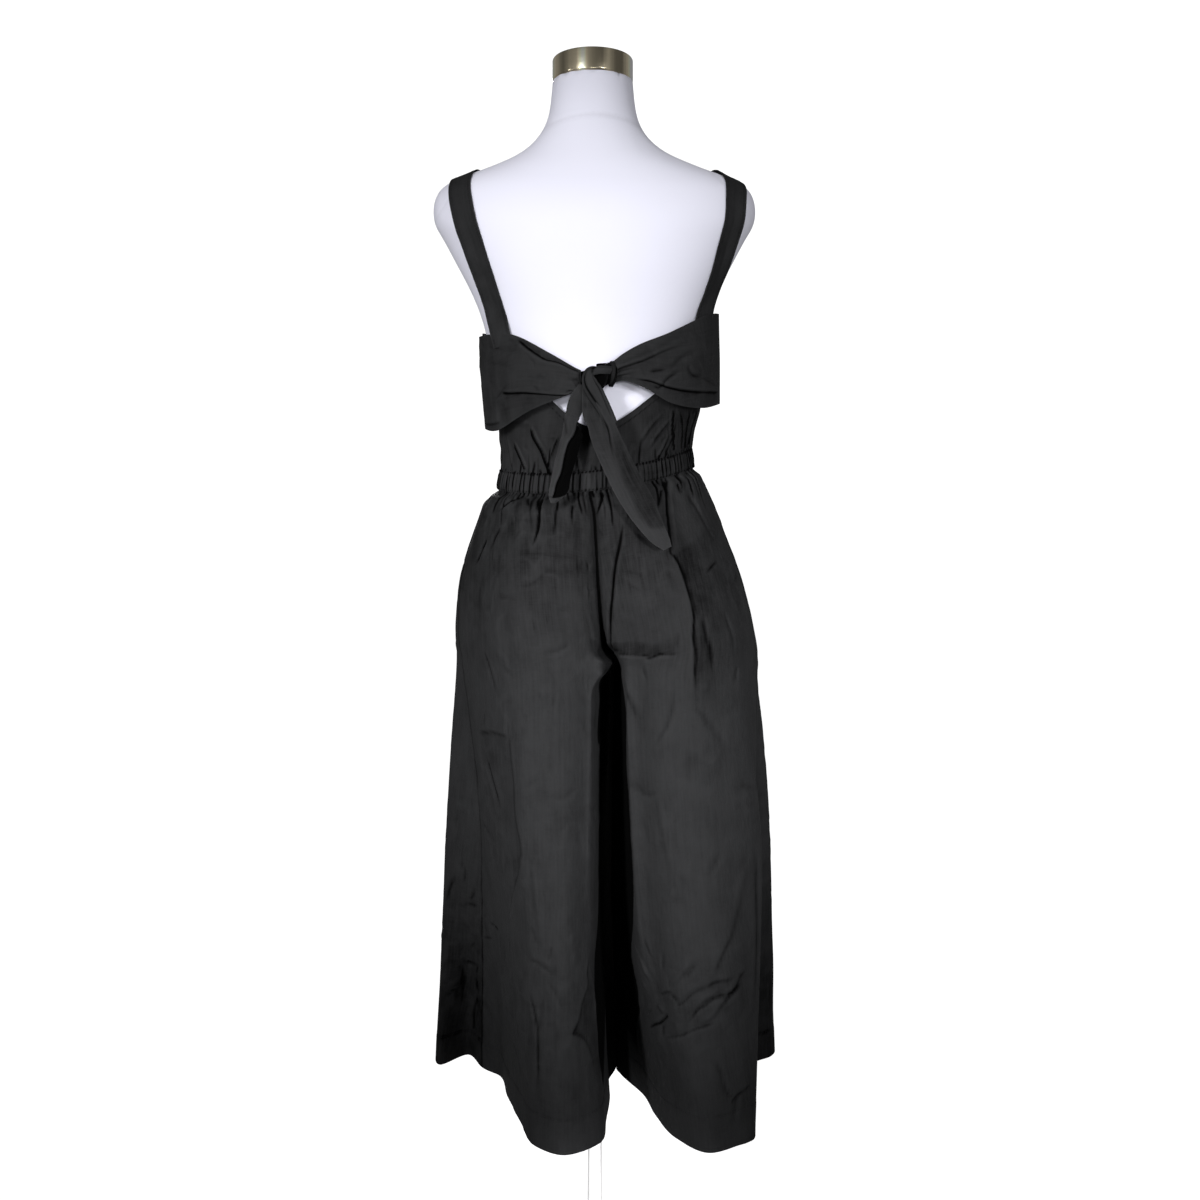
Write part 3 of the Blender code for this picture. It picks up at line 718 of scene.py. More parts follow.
def stitches(name: str, runs: list[tuple[Array, Array]], finish: Material) -> Object:
    """Joins rows of thread stitches in one piece.

    Args:
        name: of the piece.
        runs: for each row of stitches, points along it and the cloth's outward normals there.
        finish: the thread's material.

    Returns:
        The piece.
    """
    long, thick, pitch = 2.5 * MM, 0.28 * MM, 3.4 * MM
    ring = ((1, 0), (0, 1), (-1, 0), (0, -0.6))
    rings = [(end, *corner) for end in (-0.3, 0.3) for corner in ring]
    grain = np.array([(-0.5, 0, 0), *rings, (0.5, 0, 0)])
    faces = [(0, 1 + (k + 1) % 4, 1 + k) for k in range(4)]
    faces += [(1 + k, 1 + (k + 1) % 4, 5 + (k + 1) % 4, 5 + k) for k in range(4)]
    faces += [(9, 5 + k, 5 + (k + 1) % 4) for k in range(4)]
    points, polygons = [], []
    for line, normals in runs:
        along = lengths_of(line)
        places = np.arange(pitch / 2, along[-1] - pitch / 3, pitch)
        middles = spline(along, line, places)
        outs = spline(along, normals, places)
        ways = spline(along, np.gradient(line, along, axis=0), places)
        for middle, out, way in zip(middles, outs, ways):
            way = way / np.linalg.norm(way)
            side = np.cross(out, way)
            side /= np.linalg.norm(side)
            up = np.cross(way, side)
            start = len(points) * len(grain)
            across = grain[:, 1:2] * thick * side
            above = (grain[:, 2:] * thick + thick * 0.3) * up
            points.append(middle + grain[:, :1] * long * way + across + above)
            polygons += [tuple(start + corner for corner in face) for face in faces]
    mesh = bpy.data.meshes.new(name)
    mesh.from_pydata(np.concatenate(points).tolist(), [], polygons)
    mesh.shade_smooth()
    mesh.materials.append(finish)
    shape = bmesh.new()
    shape.from_mesh(mesh)
    bmesh.ops.recalc_face_normals(shape, faces=shape.faces)
    shape.to_mesh(mesh)
    shape.free()
    return add_object(name, mesh)


# ---------------------------------------------------------------- finishes


class Value:
    """A number in a material's node tree, so that shader maths reads as arithmetic."""

    def __init__(self, shader: "Shader", socket: Socket) -> None:
        """Wraps a socket."""
        self.shader = shader
        self.socket = socket

    def math(
        self, operation: str, *others: "Value | float", swap: bool = False, clamp: bool = False
    ) -> "Value":
        """Adds a Math node on this value and others."""
        terms = (*others, self) if swap else (self, *others)
        settings = {"operation": operation, "use_clamp": clamp}
        made = self.shader.node("ShaderNodeMath", settings, dict(enumerate(terms)))
        return Value(self.shader, made.outputs[0])

    def __add__(self, other: "Value | float") -> "Value":
        """self + other."""
        return self.math("ADD", other)

    def __sub__(self, other: "Value | float") -> "Value":
        """self - other."""
        return self.math("SUBTRACT", other)

    def __rsub__(self, other: float) -> "Value":
        """other - self."""
        return self.math("SUBTRACT", other, swap=True)

    def __mul__(self, other: "Value | float") -> "Value":
        """self * other."""
        return self.math("MULTIPLY", other)

    __radd__ = __add__
    __rmul__ = __mul__

    def clamped(self) -> "Value":
        """This value kept from 0 to 1."""
        return self.math("ADD", 0.0, clamp=True)


class Shader:
    """A material and its nodes."""

    def __init__(self, name: str) -> None:
        """Makes a material with Blender's own shader in it."""
        self.material = bpy.data.materials.new(name)
        self.material.use_nodes = True
        self.tree = self.material.node_tree
        self.surface = self.tree.nodes["Principled BSDF"]

    def node(self, kind: str, settings: dict | None = None, inputs: dict | None = None) -> Node:
        """Adds a node.

        Args:
            kind: Blender's name for its type.
            settings: its own settings, set first. A ramp's stops are (place, colour) pairs.
            inputs: a number, colour, Value or output for its sockets, by name or index.

        Returns:
            The node.
        """
        made = self.tree.nodes.new(kind)
        for name, value in (settings or {}).items():
            if name == "stops":
                self.set_stops(made, value)
            else:
                setattr(made, name, value)
        for name, value in (inputs or {}).items():
            self.feed(made.inputs[name], value)
        return made

    @staticmethod
    def set_stops(ramp: Node, stops: tuple) -> None:
        """Gives a ramp its stops.

        Args:
            ramp: a ColorRamp node.
            stops: (place, colour) pairs.
        """
        elements = ramp.color_ramp.elements
        while len(elements) < len(stops):
            elements.new(1.0)
        for element, (place, colour) in zip(elements, stops):
            element.position = place
            element.color = (*colour, 1.0)

    def feed(self, socket: Socket, value: object) -> None:
        """Links or sets one socket.

        Args:
            socket: an input.
            value: a Value, an output, a colour, a number or a vector.
        """
        if isinstance(value, Value):
            self.tree.links.new(value.socket, socket)
        elif isinstance(value, Socket):
            self.tree.links.new(value, socket)
        elif isinstance(value, tuple) and socket.type == "RGBA":
            socket.default_value = (*value, 1.0)
        else:
            socket.default_value = value

    def principled(self, **inputs: object) -> None:
        """Sets the shader's own sockets; an underscore in a name stands for a space."""
        for name, value in inputs.items():
            self.feed(self.surface.inputs[name.replace("_", " ").title().replace("Ior", "IOR")], value)

    def noise(self, vector: Socket, scale: float, detail: float = 2.0, rough: float = 0.5) -> Value:
        """Fractal noise from 0 to 1 over a vector."""
        inputs = {"Vector": vector, "Scale": scale, "Detail": detail, "Roughness": rough}
        return Value(self, self.node("ShaderNodeTexNoise", None, inputs).outputs["Fac"])

    def mapped(self, vector: Socket, scale: tuple, turn: tuple = (0, 0, 0)) -> Socket:
        """A vector stretched and turned."""
        inputs = {"Vector": vector, "Scale": scale, "Rotation": turn}
        return self.node("ShaderNodeMapping", None, inputs).outputs[0]

    def ramp(self, factor: Value, *stops: tuple) -> Socket:
        """A colour that changes with a value."""
        return self.node("ShaderNodeValToRGB", {"stops": stops}, {"Fac": factor}).outputs["Color"]

    def bumps(self, *layers: tuple[Value, float, float]) -> Socket:
        """A normal with layers of (height, strength, distance in m) on it.

        Args:
            layers: from the coarsest to the finest.

        Returns:
            The normal.
        """
        normal = None
        for height, strength, distance in layers:
            inputs = {"Height": height, "Strength": strength, "Distance": distance}
            if normal is not None:
                inputs["Normal"] = normal
            normal = self.node("ShaderNodeBump", None, inputs).outputs[0]
        return normal

    def objects(self) -> Socket:
        """Object coordinates."""
        return self.node("ShaderNodeTexCoord").outputs["Object"]


def scaled(colour: Colour, by: float) -> Colour:
    """A colour made lighter or darker."""
    return tuple(part * by for part in colour)


@dataclass(frozen=True)
class Finish:
    """A finish, with what feeds its shader in a class of its own."""

    name: str
    colour: Colour

    def build(self) -> Material:
        """Makes the material.

        Returns:
            The material.
        """
        shader = Shader(self.name)
        self.paint(shader, shader.objects())
        return shader.material

    def paint(self, shader: Shader, place: Socket) -> None:
        """Feeds the shader, where place is the point in the object."""
        raise NotImplementedError


@dataclass(frozen=True)
class Poplin(Finish):
    """Plain-woven cotton with a faint sheen, with painted shade in its folds and a painted highlight on its
    crests.
    """

    # shares of the colour: painted shade in the deepest folds, painted highlight on the highest crests
    painted_fold_shade: float = 0.04
    painted_crest_highlight: float = 1.6
    roughness: float = 0.66
    threads: float = 2300.0  # to the metre

    def paint(self, shader: Shader, place: Socket) -> None:
        """Feeds the shader."""
        cut = shader.node("ShaderNodeUVMap", {"uv_map": "cut"}).outputs["UV"]
        tone = Value(shader, shader.node("ShaderNodeAttribute", {"attribute_name": "tone"}).outputs["Fac"])
        slub = shader.noise(shader.mapped(cut, (900, 45, 1)), 1.0, 3.0, 0.6)
        weft = shader.noise(shader.mapped(cut, (60, 800, 1)), 1.0, 2.0, 0.5)
        cloudy = shader.noise(place, 24.0, 4.0, 0.55)
        crush = shader.noise(shader.mapped(place, (1, 1, 0.6)), 75.0, 5.0, 0.62)
        split = shader.node("ShaderNodeSeparateXYZ", None, {0: shader.mapped(cut, (self.threads,) * 3)})
        warp_way, weft_way = (Value(shader, split.outputs[axis]).math("SINE") for axis in (0, 1))
        weave = warp_way * weft_way * 0.5 + 0.5
        streak = shader.noise(shader.mapped(cut, (330, 13, 1)), 1.0, 2.0, 0.55)
        # random mottle of clouds, streaks, slubs and weft
        mottle_and_crumple_shade = (cloudy - 0.5) * 0.3 + (streak - 0.5) * 0.22 + (slub - 0.5) * 0.16 + (weft - 0.5) * 0.12
        # painted shade and highlight that follow the crumple bump
        mottle_and_crumple_shade = mottle_and_crumple_shade + (crush - 0.5) * 0.24
        # the painted shading from the mesh darkens the folds and lightens the crests, with the mottle on it
        light = (tone * 0.5 + 0.5 + mottle_and_crumple_shade).clamped()
        dark = self.painted_fold_shade
        shades = ((0.0, dark), (0.12, dark * 1.5), (0.36, 0.74), (0.5, 1.0), (1.0, self.painted_crest_highlight))
        stops = [(stop, scaled(self.colour, shade)) for stop, shade in shades]
        shader.principled(
            base_color=shader.ramp(light, *stops),
            roughness=(cloudy * 0.14 + (self.roughness - 0.07) - tone * 0.26).clamped(),
            specular_ior_level=0.03,
            normal=shader.bumps((crush, 0.8, 1.8 * MM), (slub, 0.3, 0.12 * MM), (weave, 0.25, 0.06 * MM)),
        )


@dataclass(frozen=True)
class Thread(Finish):
    """Twisted sewing thread."""

    def paint(self, shader: Shader, place: Socket) -> None:
        """Feeds the shader."""
        twist = shader.noise(shader.mapped(place, (1, 1, 1), (0.6, 0.4, 0.2)), 1400.0, 2.0)
        worn = shader.noise(place, 90.0, 3.0)
        stops = ((0.25, scaled(self.colour, 0.7)), (0.75, scaled(self.colour, 1.3)))
        shader.principled(
            base_color=shader.ramp(worn, *stops),
            roughness=worn * 0.2 + 0.6,
            specular_ior_level=0.12,
            normal=shader.bumps((twist, 0.4, 0.08 * MM)),
        )


@dataclass(frozen=True)
class Jersey(Finish):
    """Fine knitted cover of the form, with its ribs running up."""

    ribs: float = 1100.0  # to the metre
    neck_seam: float = 1.479  # height in the middle (m)

    def paint(self, shader: Shader, place: Socket) -> None:
        """Feeds the shader."""
        cloudy = shader.noise(place, 9.0, 3.0)
        split = shader.node("ShaderNodeSeparateXYZ", None, {0: place})
        across, up = Value(shader, split.outputs[0]), Value(shader, split.outputs[2])
        rib = (across * self.ribs * 2 * math.pi).math("SINE") * 0.5 + 0.5
        course = (up * self.ribs * 1.4 * 2 * math.pi).math("SINE") * 0.5 + 0.5
        fuzz = shader.noise(place, 420.0, 3.0, 0.7)
        over = up - self.neck_seam + across * across * 3.4
        seam = (1.0 - (over * 170.0).math("ABSOLUTE")).clamped()
        # painted shade: the neck above its seam is painted a little darker
        above = (over * 30.0).clamped()
        stops = ((0.0, scaled(self.colour, 0.8)), (0.35, scaled(self.colour, 0.965)), (0.85, self.colour))
        shader.principled(
            base_color=shader.ramp(cloudy * 0.7 + fuzz * 0.3 - seam * 0.22 - above * 0.1, *stops),
            roughness=fuzz * 0.1 + 0.8,
            sheen_weight=0.12,
            sheen_roughness=0.5,
            normal=shader.bumps(
                (fuzz, 0.15, 0.25 * MM), (rib * course, 0.2, 0.1 * MM), (seam, 0.6, -0.8 * MM)
            ),
        )


@dataclass(frozen=True)
class BrushedSteel(Finish):
    """Metal rubbed round and round, with painted reflections: darker and lighter upright stripes across it.
    """

    roughness: float = 0.2

    def paint(self, shader: Shader, place: Socket) -> None:
        """Feeds the shader."""
        lines = shader.noise(shader.mapped(place, (6, 6, 2600), (-0.157, 0, 0)), 1.0, 3.0, 0.6)
        cloudy = shader.noise(place, 38.0, 3.0)
        fine = shader.noise(shader.mapped(place, (620, 40, 6)), 1.0, 3.0, 0.65)
        across = Value(shader, shader.node("ShaderNodeSeparateXYZ", None, {0: place}).outputs[0])
        # painted reflections: dark and bright upright stripes across the cap, standing in for the lamps and
        # room it mirrors
        shares = (2.3, 1.2, 0.45, 0.95, 1.1, 2.2, 1.0, 0.62, 0.5, 1.3, 0.5, 0.45, 1.6, 3.6)
        last = len(shares) - 1
        painted_reflections = [(index / last, scaled(self.colour, share)) for index, share in enumerate(shares)]
        turned = across * 10.0 + 0.52 + (fine - 0.5) * 0.05 + (lines - 0.5) * 0.02 + (cloudy - 0.5) * 0.02
        shader.principled(
            base_color=shader.ramp(turned.clamped(), *painted_reflections),
            metallic=1.0,
            roughness=lines * 0.16 + cloudy * 0.06 + (self.roughness - 0.1),
            normal=shader.bumps((lines, 0.2, 0.05 * MM)),
        )


@dataclass(frozen=True)
class PowderCoat(Finish):
    """White powder coat, faintly pebbled."""

    roughness: float = 0.38

    def paint(self, shader: Shader, place: Socket) -> None:
        """Feeds the shader."""
        pebble = shader.noise(place, 620.0, 2.0)
        dust = shader.noise(place, 14.0, 4.0, 0.6)
        stops = ((0.3, scaled(self.colour, 0.95)), (0.7, self.colour))
        shader.principled(
            base_color=shader.ramp(dust, *stops),
            roughness=dust * 0.12 + (self.roughness - 0.06),
            coat_weight=0.2,
            coat_roughness=0.25,
            normal=shader.bumps((pebble, 0.12, 0.15 * MM)),
        )


@dataclass(frozen=True)
class Finishes:
    """Every finish of the object, made once."""

    poplin: Material
    thread: Material
    jersey: Material
    steel: Material
    paint: Material

    @classmethod
    def build(cls) -> "Finishes":
        """Makes them all.

        Returns:
            The finishes.
        """
        return cls(
            Poplin("black_poplin", (0.0198, 0.02, 0.0209)).build(),
            Thread("black_thread", (0.012, 0.012, 0.013)).build(),
            Jersey("white_jersey", (0.8, 0.8, 0.91)).build(),
            BrushedSteel("brushed_cap", (0.66, 0.58, 0.42)).build(),
            PowderCoat("white_paint", (0.8, 0.8, 0.8)).build(),
        )


def place_piece(made: Object, slot: str, *nodes: str) -> Object:
    """Ties a piece to the frame's root body and hides the CAD nodes that it stands for.

    Args:
        made: the piece.
        slot: the name of its finish; not used.
        nodes: of the CAD, if it stands for any.

    Returns:
        The piece.
    """
    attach(made, ROOT)
    if nodes:
        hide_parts(*nodes)
    log.info("%s: %d faces", made.name, len(made.data.polygons))
    return made


def cloth(sheet: Sheet, name: str, wall: float, finishes: Finishes, *nodes: str) -> Object:
    """Makes a piece of poplin."""
    return place_piece(sheet.shell(name, wall, finishes.poplin), "black_poplin", *nodes)


def sewn_on(made: Object, runs: list[tuple[Array, Array]], finishes: Finishes) -> Object:
    """Makes the stitches of a piece of poplin."""
    return place_piece(stitches(made.name + "_stitches", runs, finishes.thread), "black_poplin")


# ---------------------------------------------------------------- bodice and waist


class Girth(NamedTuple):
    """Plan oval of the bodice at a height; centre is how far its middle lies to the right."""

    z: float
    centre: float
    half_width: float
    back: float
    front: float


@dataclass
class Bodice:
    """The gathered waist casing, the low back of the bodice and its bib front."""

    finishes: Finishes
    girths: tuple[Girth, ...] = rows_of(Girth, """
        1030  1  122  88  89
        1069  1.5  115  86  87
        1109  2.5  117.5  90  99
        1137  4.5  122.5  94  112
        1190  5  133  99  130
        1230  3.5  138  101  130
        1270  2  149  103  117
        1310  0  160  103  103
    """)
    scoop_low: float = 1119 * MM
    scoop_rise: float = 80 * MM
    scoop_curve_left: float = 16.0
    scoop_curve_right: float = 10.5
    bib_top: float = 1300 * MM
    bib_half_width: float = 96 * MM
    armhole_left: Pair = (-127 * MM, 1228 * MM)
    armhole_right: Pair = (140 * MM, 1250 * MM)
    casing_columns: int = 840
    casing_rows: int = 16
    casing_pitch: float = 6.4 * MM
    casing_swell: float = 1.5 * MM
    casing_shade: float = 0.24  # painted shade right of the middle, from behind
    casing_shaded: Pair = (30 * MM, 80 * MM)
    # painted shade over the whole back, more of it to the right
    back_shade: float = 0.06
    back_right_shade: float = 0.2
    back_shaded: Pair = (20 * MM, 70 * MM)
    tucked: float = 4 * MM  # how far the bodice reaches down inside the casing
    scoop_hem: float = 9 * MM
    bib_hem: float = 14 * MM
    back_creases: tuple[Crease, ...] = creases_of("""
        trough 4.4 1.9 .2 .02  -75,1120 -70,1108 -61,1089 -56,1076 -51,1064
        trough 3.4 1.7 .3 .02  -96,1102 -92,1092 -86,1080 -81,1067
        trough 2.8 1.8 .3 .3  -40,1110 -46,1096 -52,1078
        shade  .9 8 .05 .7 1 13  -17,1124 -18,1100 -22,1074
        trough 1.6 3.2 .4 .4  -100,1120 -88,1124 -70,1118
        trough 1.8 2.6 .5 .1  -106,1112 -102,1090 -98,1068
        trough 3.6 1.6 .15 .05  92,1140 91,1118 93,1090
        trough 2.6 1.6 .3 .05  96,1143 102,1126 102,1092
        trough 2.4 1.7 .3 .1  96,1128 91,1106 82,1086
        trough 2.2 1.8 .3 .1  88,1112 82,1096 73,1080
        trough 1.8 2.2 .3 .4  91,1129 75,1110 61,1090
        trough 1.6 2.4 .4 .4  84,1137 66,1120 48,1092
        trough 2.8 1.6 .2 .05  112,1140 108,1113 107,1092
        trough 2.6 1.6 .2 .05  122,1140 114,1112 111,1095
        trough 1.8 2 .5 .1  20,1098 17,1084 14,1071
        trough 2 1.6 .4 .1  -6,1084 -10,1077 -11,1068
    """)
    front_creases: tuple[Crease, ...] = creases_of("""
        trough 3 2.8 .5 .05  -70,1140 -62,1105 -56,1072
        trough 2.2 2.6 .5 .05  -34,1128 -31,1098 -29,1070
        trough 1.8 2.6 .5 .05  6,1118 4,1094 3,1070
        trough 2.6 2.8 .5 .05  40,1138 36,1104 33,1071
        trough 3 2.8 .5 .05  88,1142 76,1106 68,1073
        trough 2 3.6 .3 .5  -92,1215 -60,1228 -20,1230
        trough 1.8 3.6 .3 .5  104,1228 70,1236 32,1236
        trough 1.6 3.2 .1 .6  -86,1290 -72,1258 -66,1224
        trough 1.6 3.2 .1 .6  86,1292 74,1262 70,1228
    """)

    def point(self, height: Array, angle: Array, out: Array | float = 0.0) -> Array:
        """Points round the bodice.

        Args:
            height: heights (m).
            angle: from 0 at the right side through a quarter turn at the front.
            out: how far out of the oval (m).

        Returns:
            Points, in metres.
        """
        height, angle, out = np.broadcast_arrays(height, angle, out)
        rows = [(g.centre, g.half_width, g.back, g.front) for g in self.girths]
        ovals = spline([g.z * MM for g in self.girths], rows, height.ravel()) * MM
        centre, half_width, back, front = ovals.reshape(*height.shape, 4).transpose(-1, *range(height.ndim))
        depth = np.where(np.sin(angle) > 0, front, back)
        x = centre + (half_width + out) * np.cos(angle)
        return np.stack([x, (depth + out) * np.sin(angle), height], axis=-1)

    def scoop(self, x: Array) -> Array:
        """Height of the back's curved upper edge over x."""
        curve = np.where(x < 0, self.scoop_curve_left, self.scoop_curve_right)
        return self.scoop_low + self.scoop_rise * (1 - np.exp(-curve * x * x / self.scoop_rise))

    def bib(self, x: Array) -> Array:
        """Height of the bib's upper edge over x, which falls to the armhole at each side."""
        side_x = np.where(x < 0, -self.armhole_left[0], self.armhole_right[0])
        side_z = np.where(x < 0, self.armhole_left[1], self.armhole_right[1])
        t = np.clip((np.abs(x) - self.bib_half_width) / (side_x - self.bib_half_width), 0, 1)
        return self.bib_top - (self.bib_top - side_z) * t * t * (3 - 2 * t)

    def grid(
        self, start: float, end: float, edge: Callable[[Array], Array], columns: int, rows: int
    ) -> Array:
        """Rows of points from inside the casing up to an upper edge.

        Args:
            start: first angle.
            end: last angle.
            edge: height of the upper edge over x.
            columns: spans across.
            rows: spans up.

        Returns:
            rows + 1 x columns + 1 points.
        """
        angle = np.linspace(start, end, columns + 1)
        x_low = self.point(CASING_LOW + CASING_HEIGHT, angle)[:, 0]
        low = waist_line(x_low, CASING_LOW + CASING_HEIGHT) - self.tucked
        x_high = x_low
        for _ in range(6):
            high = edge(x_high)
            x_high = self.point(high, angle)[:, 0]
        rise = np.linspace(0, 1, rows + 1)[:, None]
        height = mixed(low, high, rise)
        inside = -1.6 * MM * smoothstep(low + self.tucked + 1 * MM - height, 0, 3 * MM)
        return self.point(height, angle, inside)

    def casing(self) -> None:
        """The ring that holds the elastic: a groove between every two gathers, sewn above and below, with
        painted shade in each groove and right of the middle at the back.
        """
        angle = 2 * math.pi * np.arange(self.casing_columns) / self.casing_columns
        rise = np.linspace(0, 1, self.casing_rows + 1)[:, None]
        swell = self.casing_swell * np.sin(math.pi * rise) ** 0.6
        ring = self.point(CASING_LOW + rise * CASING_HEIGHT, angle[None, :], swell)
        ring[..., 2] = waist_line(ring[..., 0], CASING_LOW) + rise * CASING_HEIGHT
        sheet = Sheet(ring, -1, ring=True)
        around = sheet.from_first[0]
        total = around[-1] + np.linalg.norm(ring[0, 0] - ring[0, -1])
        draw = np.random.default_rng(41)
        count = round(total / self.casing_pitch)
        for index in range(count):
            middle = (index + 0.5 + draw.uniform(-0.24, 0.24)) * total / count
            gap = (around[None, :] - middle + total / 2) % total - total / 2
            lean = draw.uniform(-1.2, 1.2) * MM * (rise - 0.5)
            deep = draw.uniform(0.5, 2.0) * MM
            width = draw.uniform(0.8, 1.05) * MM
            low, high = draw.uniform(-0.2, 0.1), draw.uniform(0.9, 1.2)
            hold = smoothstep(rise, low - 0.1, low + 0.3) * smoothstep(high + 0.1 - rise, 0, 0.35)
            q = (gap - lean) / width
            sheet.relief -= deep * hold * (bump(q) - 0.3 * bump((np.abs(q) - 2.4) / 1.8))
            # painted shade in each groove, deeper where the groove is deeper
            sheet.tone -= deep / (1.6 * MM) * hold * (1.1 * bump(q / 0.8) - 0.2 * bump((q - 2.4) / 1.4))
        sheet.ruffle(0.3, 0.2, 1.0)
        # painted shade right of the middle, at the back
        behind = smoothstep(ring[..., 1], 0, -30 * MM)
        sheet.tone -= self.casing_shade * behind * smoothstep(ring[..., 0], *self.casing_shaded)
        for edge, depth in ((0.07, 0.8), (0.93, 1.7)):
            away = (rise - edge) * CASING_HEIGHT * np.ones_like(around)
            sheet.stitch_line(away, np.broadcast_to(around, away.shape), depth, 4.4)
        made = cloth(sheet, "waist_casing", CLOTH, self.finishes, "waistband")
        points = sheet.points
        faces = (points, sheet.face_normals(points))
        rings = [np.concatenate([line, line[:, :1]], axis=1) for line in faces]
        runs = [tuple(ring[row] for ring in rings) for row in (1, self.casing_rows - 1)]
        sewn = sewn_on(made, runs, self.finishes)

    def back(self) -> None:
        """The back of the bodice, low in the middle, with long folds that run up from the waist, and
        painted shade over it that deepens to the right.
        """
        sheet = Sheet(self.grid(math.pi, 2 * math.pi, self.scoop, 220, 70), -1)
        sheet.press(*self.back_creases)
        sheet.gather(5, 6.4, (0.8, 2.4), (6, 40))
        # painted shade, more to the right
        right = smoothstep(sheet.base[..., 0], *self.back_shaded)
        sheet.tone -= self.back_shade + self.back_right_shade * right
        self.finish_panel(sheet, "bodice_back", "back_bodice", self.scoop_hem)

    def front(self) -> None:
        """The bib, gathered at the waist, with soft folds that fan out over the bust."""
        sheet = Sheet(self.grid(0, math.pi, self.bib, 180, 84), -1, facing=1)
        sheet.press(*self.front_creases)
        sheet.gather(15, 6.8, (0.8, 2.4), (8, 52))
        self.finish_panel(sheet, "bodice_front", "front_bodice", self.bib_hem)

    def finish_panel(self, sheet: Sheet, name: str, node: str, hem: float) -> None:
        """Args:
            sheet: the panel, with its own folds in it.
            name: of the piece.
            node: the CAD node that it stands for.
            hem: from the upper edge to its stitches (m).
        """
        sheet.ruffle(0.7, 0.4, 1.6).scatter(37, 30, (0.3, 1.4), (7, 26))
        sheet.seam(sheet.from_first, 1.3).seam(sheet.from_last, 1.3).hem(hem, 0.55, 0.35, 1)
        made = cloth(sheet, name, CLOTH, self.finishes, node)
        sewn = sewn_on(made, [sheet.hem_run(hem)], self.finishes)

    def build(self) -> None:
        """Makes the three pieces and their stitches."""
        self.casing()
        self.back()
        self.front()


# ---------------------------------------------------------------- trousers


class Fold(NamedTuple):
    """A long fold of a trouser panel: its share of the way across, and its (x, y) at each level."""

    name: str
    share: float
    waist: Pair
    hip: Pair
    seat: Pair
    tuck: Pair
    fork: Pair
    knee: Pair
    hem: Pair


BACK_LEFT = rows_of(Fold, """
    seam  0  -5,-86  2,-104  6,-106  11,-89  21,-5  12,-5  18,30
    inner  .1  -13,-86  -7,-109  -2,-113  5,-102  8,-56  4,-60  19,-20
    edge  .22  -22,-84  -16,-113  -10,-120  -1,-112  -1,-106  -1,-114  14,-85
    in  .34  -36,-81  -31,-116  -24,-127  -12,-120  -11,-115  -13,-132  5,-143
    lobe  .44  -56,-73  -55,-114  -50,-131  -42,-130  -40,-129  -38,-150  -36,-173
    out  .53  -77,-64  -81,-103  -80,-124  -76,-126  -75,-124  -72,-140  -70,-150
    turn  .66  -95,-50  -106,-84  -109,-104  -109,-106  -106,-105  -100,-106  -92,-82
    deep  .79  -108,-31  -127,-59  -133,-76  -134,-76  -131,-76  -119,-68  -110,-18
    dip  .9  -115,-15  -142,-31  -152,-42  -153,-44  -149,-44  -133,-32  -123,45
    side  1  -117,0  -149,-2  -166,-5  -168,-8  -164,-10  -143,0  -150,73
""")
BACK_RIGHT = rows_of(Fold, """
    seam  0  -4.7,-86  2.3,-104  6.3,-106  11,-89  23,-5  20,-5  33,52
    inner  .12  4,-86  12,-109  16,-113  20,-104  29,-54  36,-56  62,-8
    edge  .26  14,-85.5  22,-112  27,-119  31,-113  34,-101  45,-106  77,-72
    in  .4  33,-83  40,-114  48,-128  56,-122  50,-113  61,-118  100,-130
    lobe  .52  57,-77  66,-110  79,-130  87,-131  84,-130  101,-143  138,-167
    out  .6  80,-65  92,-99  112,-120  121,-122  123,-122  150,-133  171,-149
    fold  .66  99,-49  119,-79  144,-96  154,-99  158,-97  192,-93  191,-134
    tuck  .78  111.5,-31  140,-53  165,-65  176,-66  180,-66  199,-56  189,-78
    deep  .9  118,-14  154,-27  178,-34  189,-35  193,-35  199,-19  186,-20
    side  1  119.5,0  160,0  184,-3  196,-5  199,-5  203,15  192,30
""")
FRONT_LEFT = (BACK_LEFT[-1]._replace(share=0), *rows_of(Fold, """
    dip  .09  -115,16  -150,18  -169,16  -173,14  -171,12  -163,20  -172,115
    turn  .18  -109,34  -145,38  -163,37  -169,37  -172,34  -190,46  -206,82
    corner  .29  -97,50  -132,58  -150,62  -157,64  -161,62  -188,86  -212,126
    outer  .42  -80,66  -110,80  -126,88  -133,92  -137,92  -158,128  -172,177
    front  .56  -54,76  -76,98  -88,106  -94,110  -98,112  -104,147  -104,191
    middle  .69  -28,83  -38,106  -43,114  -45,115  -38,114  -26,142  -18,178
    bend  .79  -11,86  -14,108  -17,114  -4,110  31,98  30,113  32,132
    inner  .9  -2,86.5  -2,107  -3,112  5,101  18,48  19,62  27,70
    seam  1  4.2,86.5  4.2,106  6,109  12.2,90  21,-5  12,-5  18,30
"""))
FRONT_RIGHT = (BACK_RIGHT[-1]._replace(share=0), *rows_of(Fold, """
    dip  .09  118,17  161,18  186,16  198,16  203,16  206,40  205,82
    turn  .18  113,32  156,38  180,38  190,38  198,40  227,58  237,108
    corner  .29  104,46  144,58  166,62  175,64  182,66  216,98  243,142
    outer  .42  88,61  122,80  141,88  149,92  156,94  184,134  206,182
    front  .56  65,75  88,97  102,106  109,110  115,112  133,150  146,202
    middle  .69  38,83  50,106  58,114  63,115  70,111  86,141  95,190
    bend  .79  21,86  26,109  31,114  38,108  48,92  56,102  47,142
    inner  .9  12,87  12.5,107  15,112  21,99  33,46  35,58  29,80
    seam  1  4.5,86.5  4.5,106  6.3,109  14.2,90  23,-5  20,-5  33,52
"""))

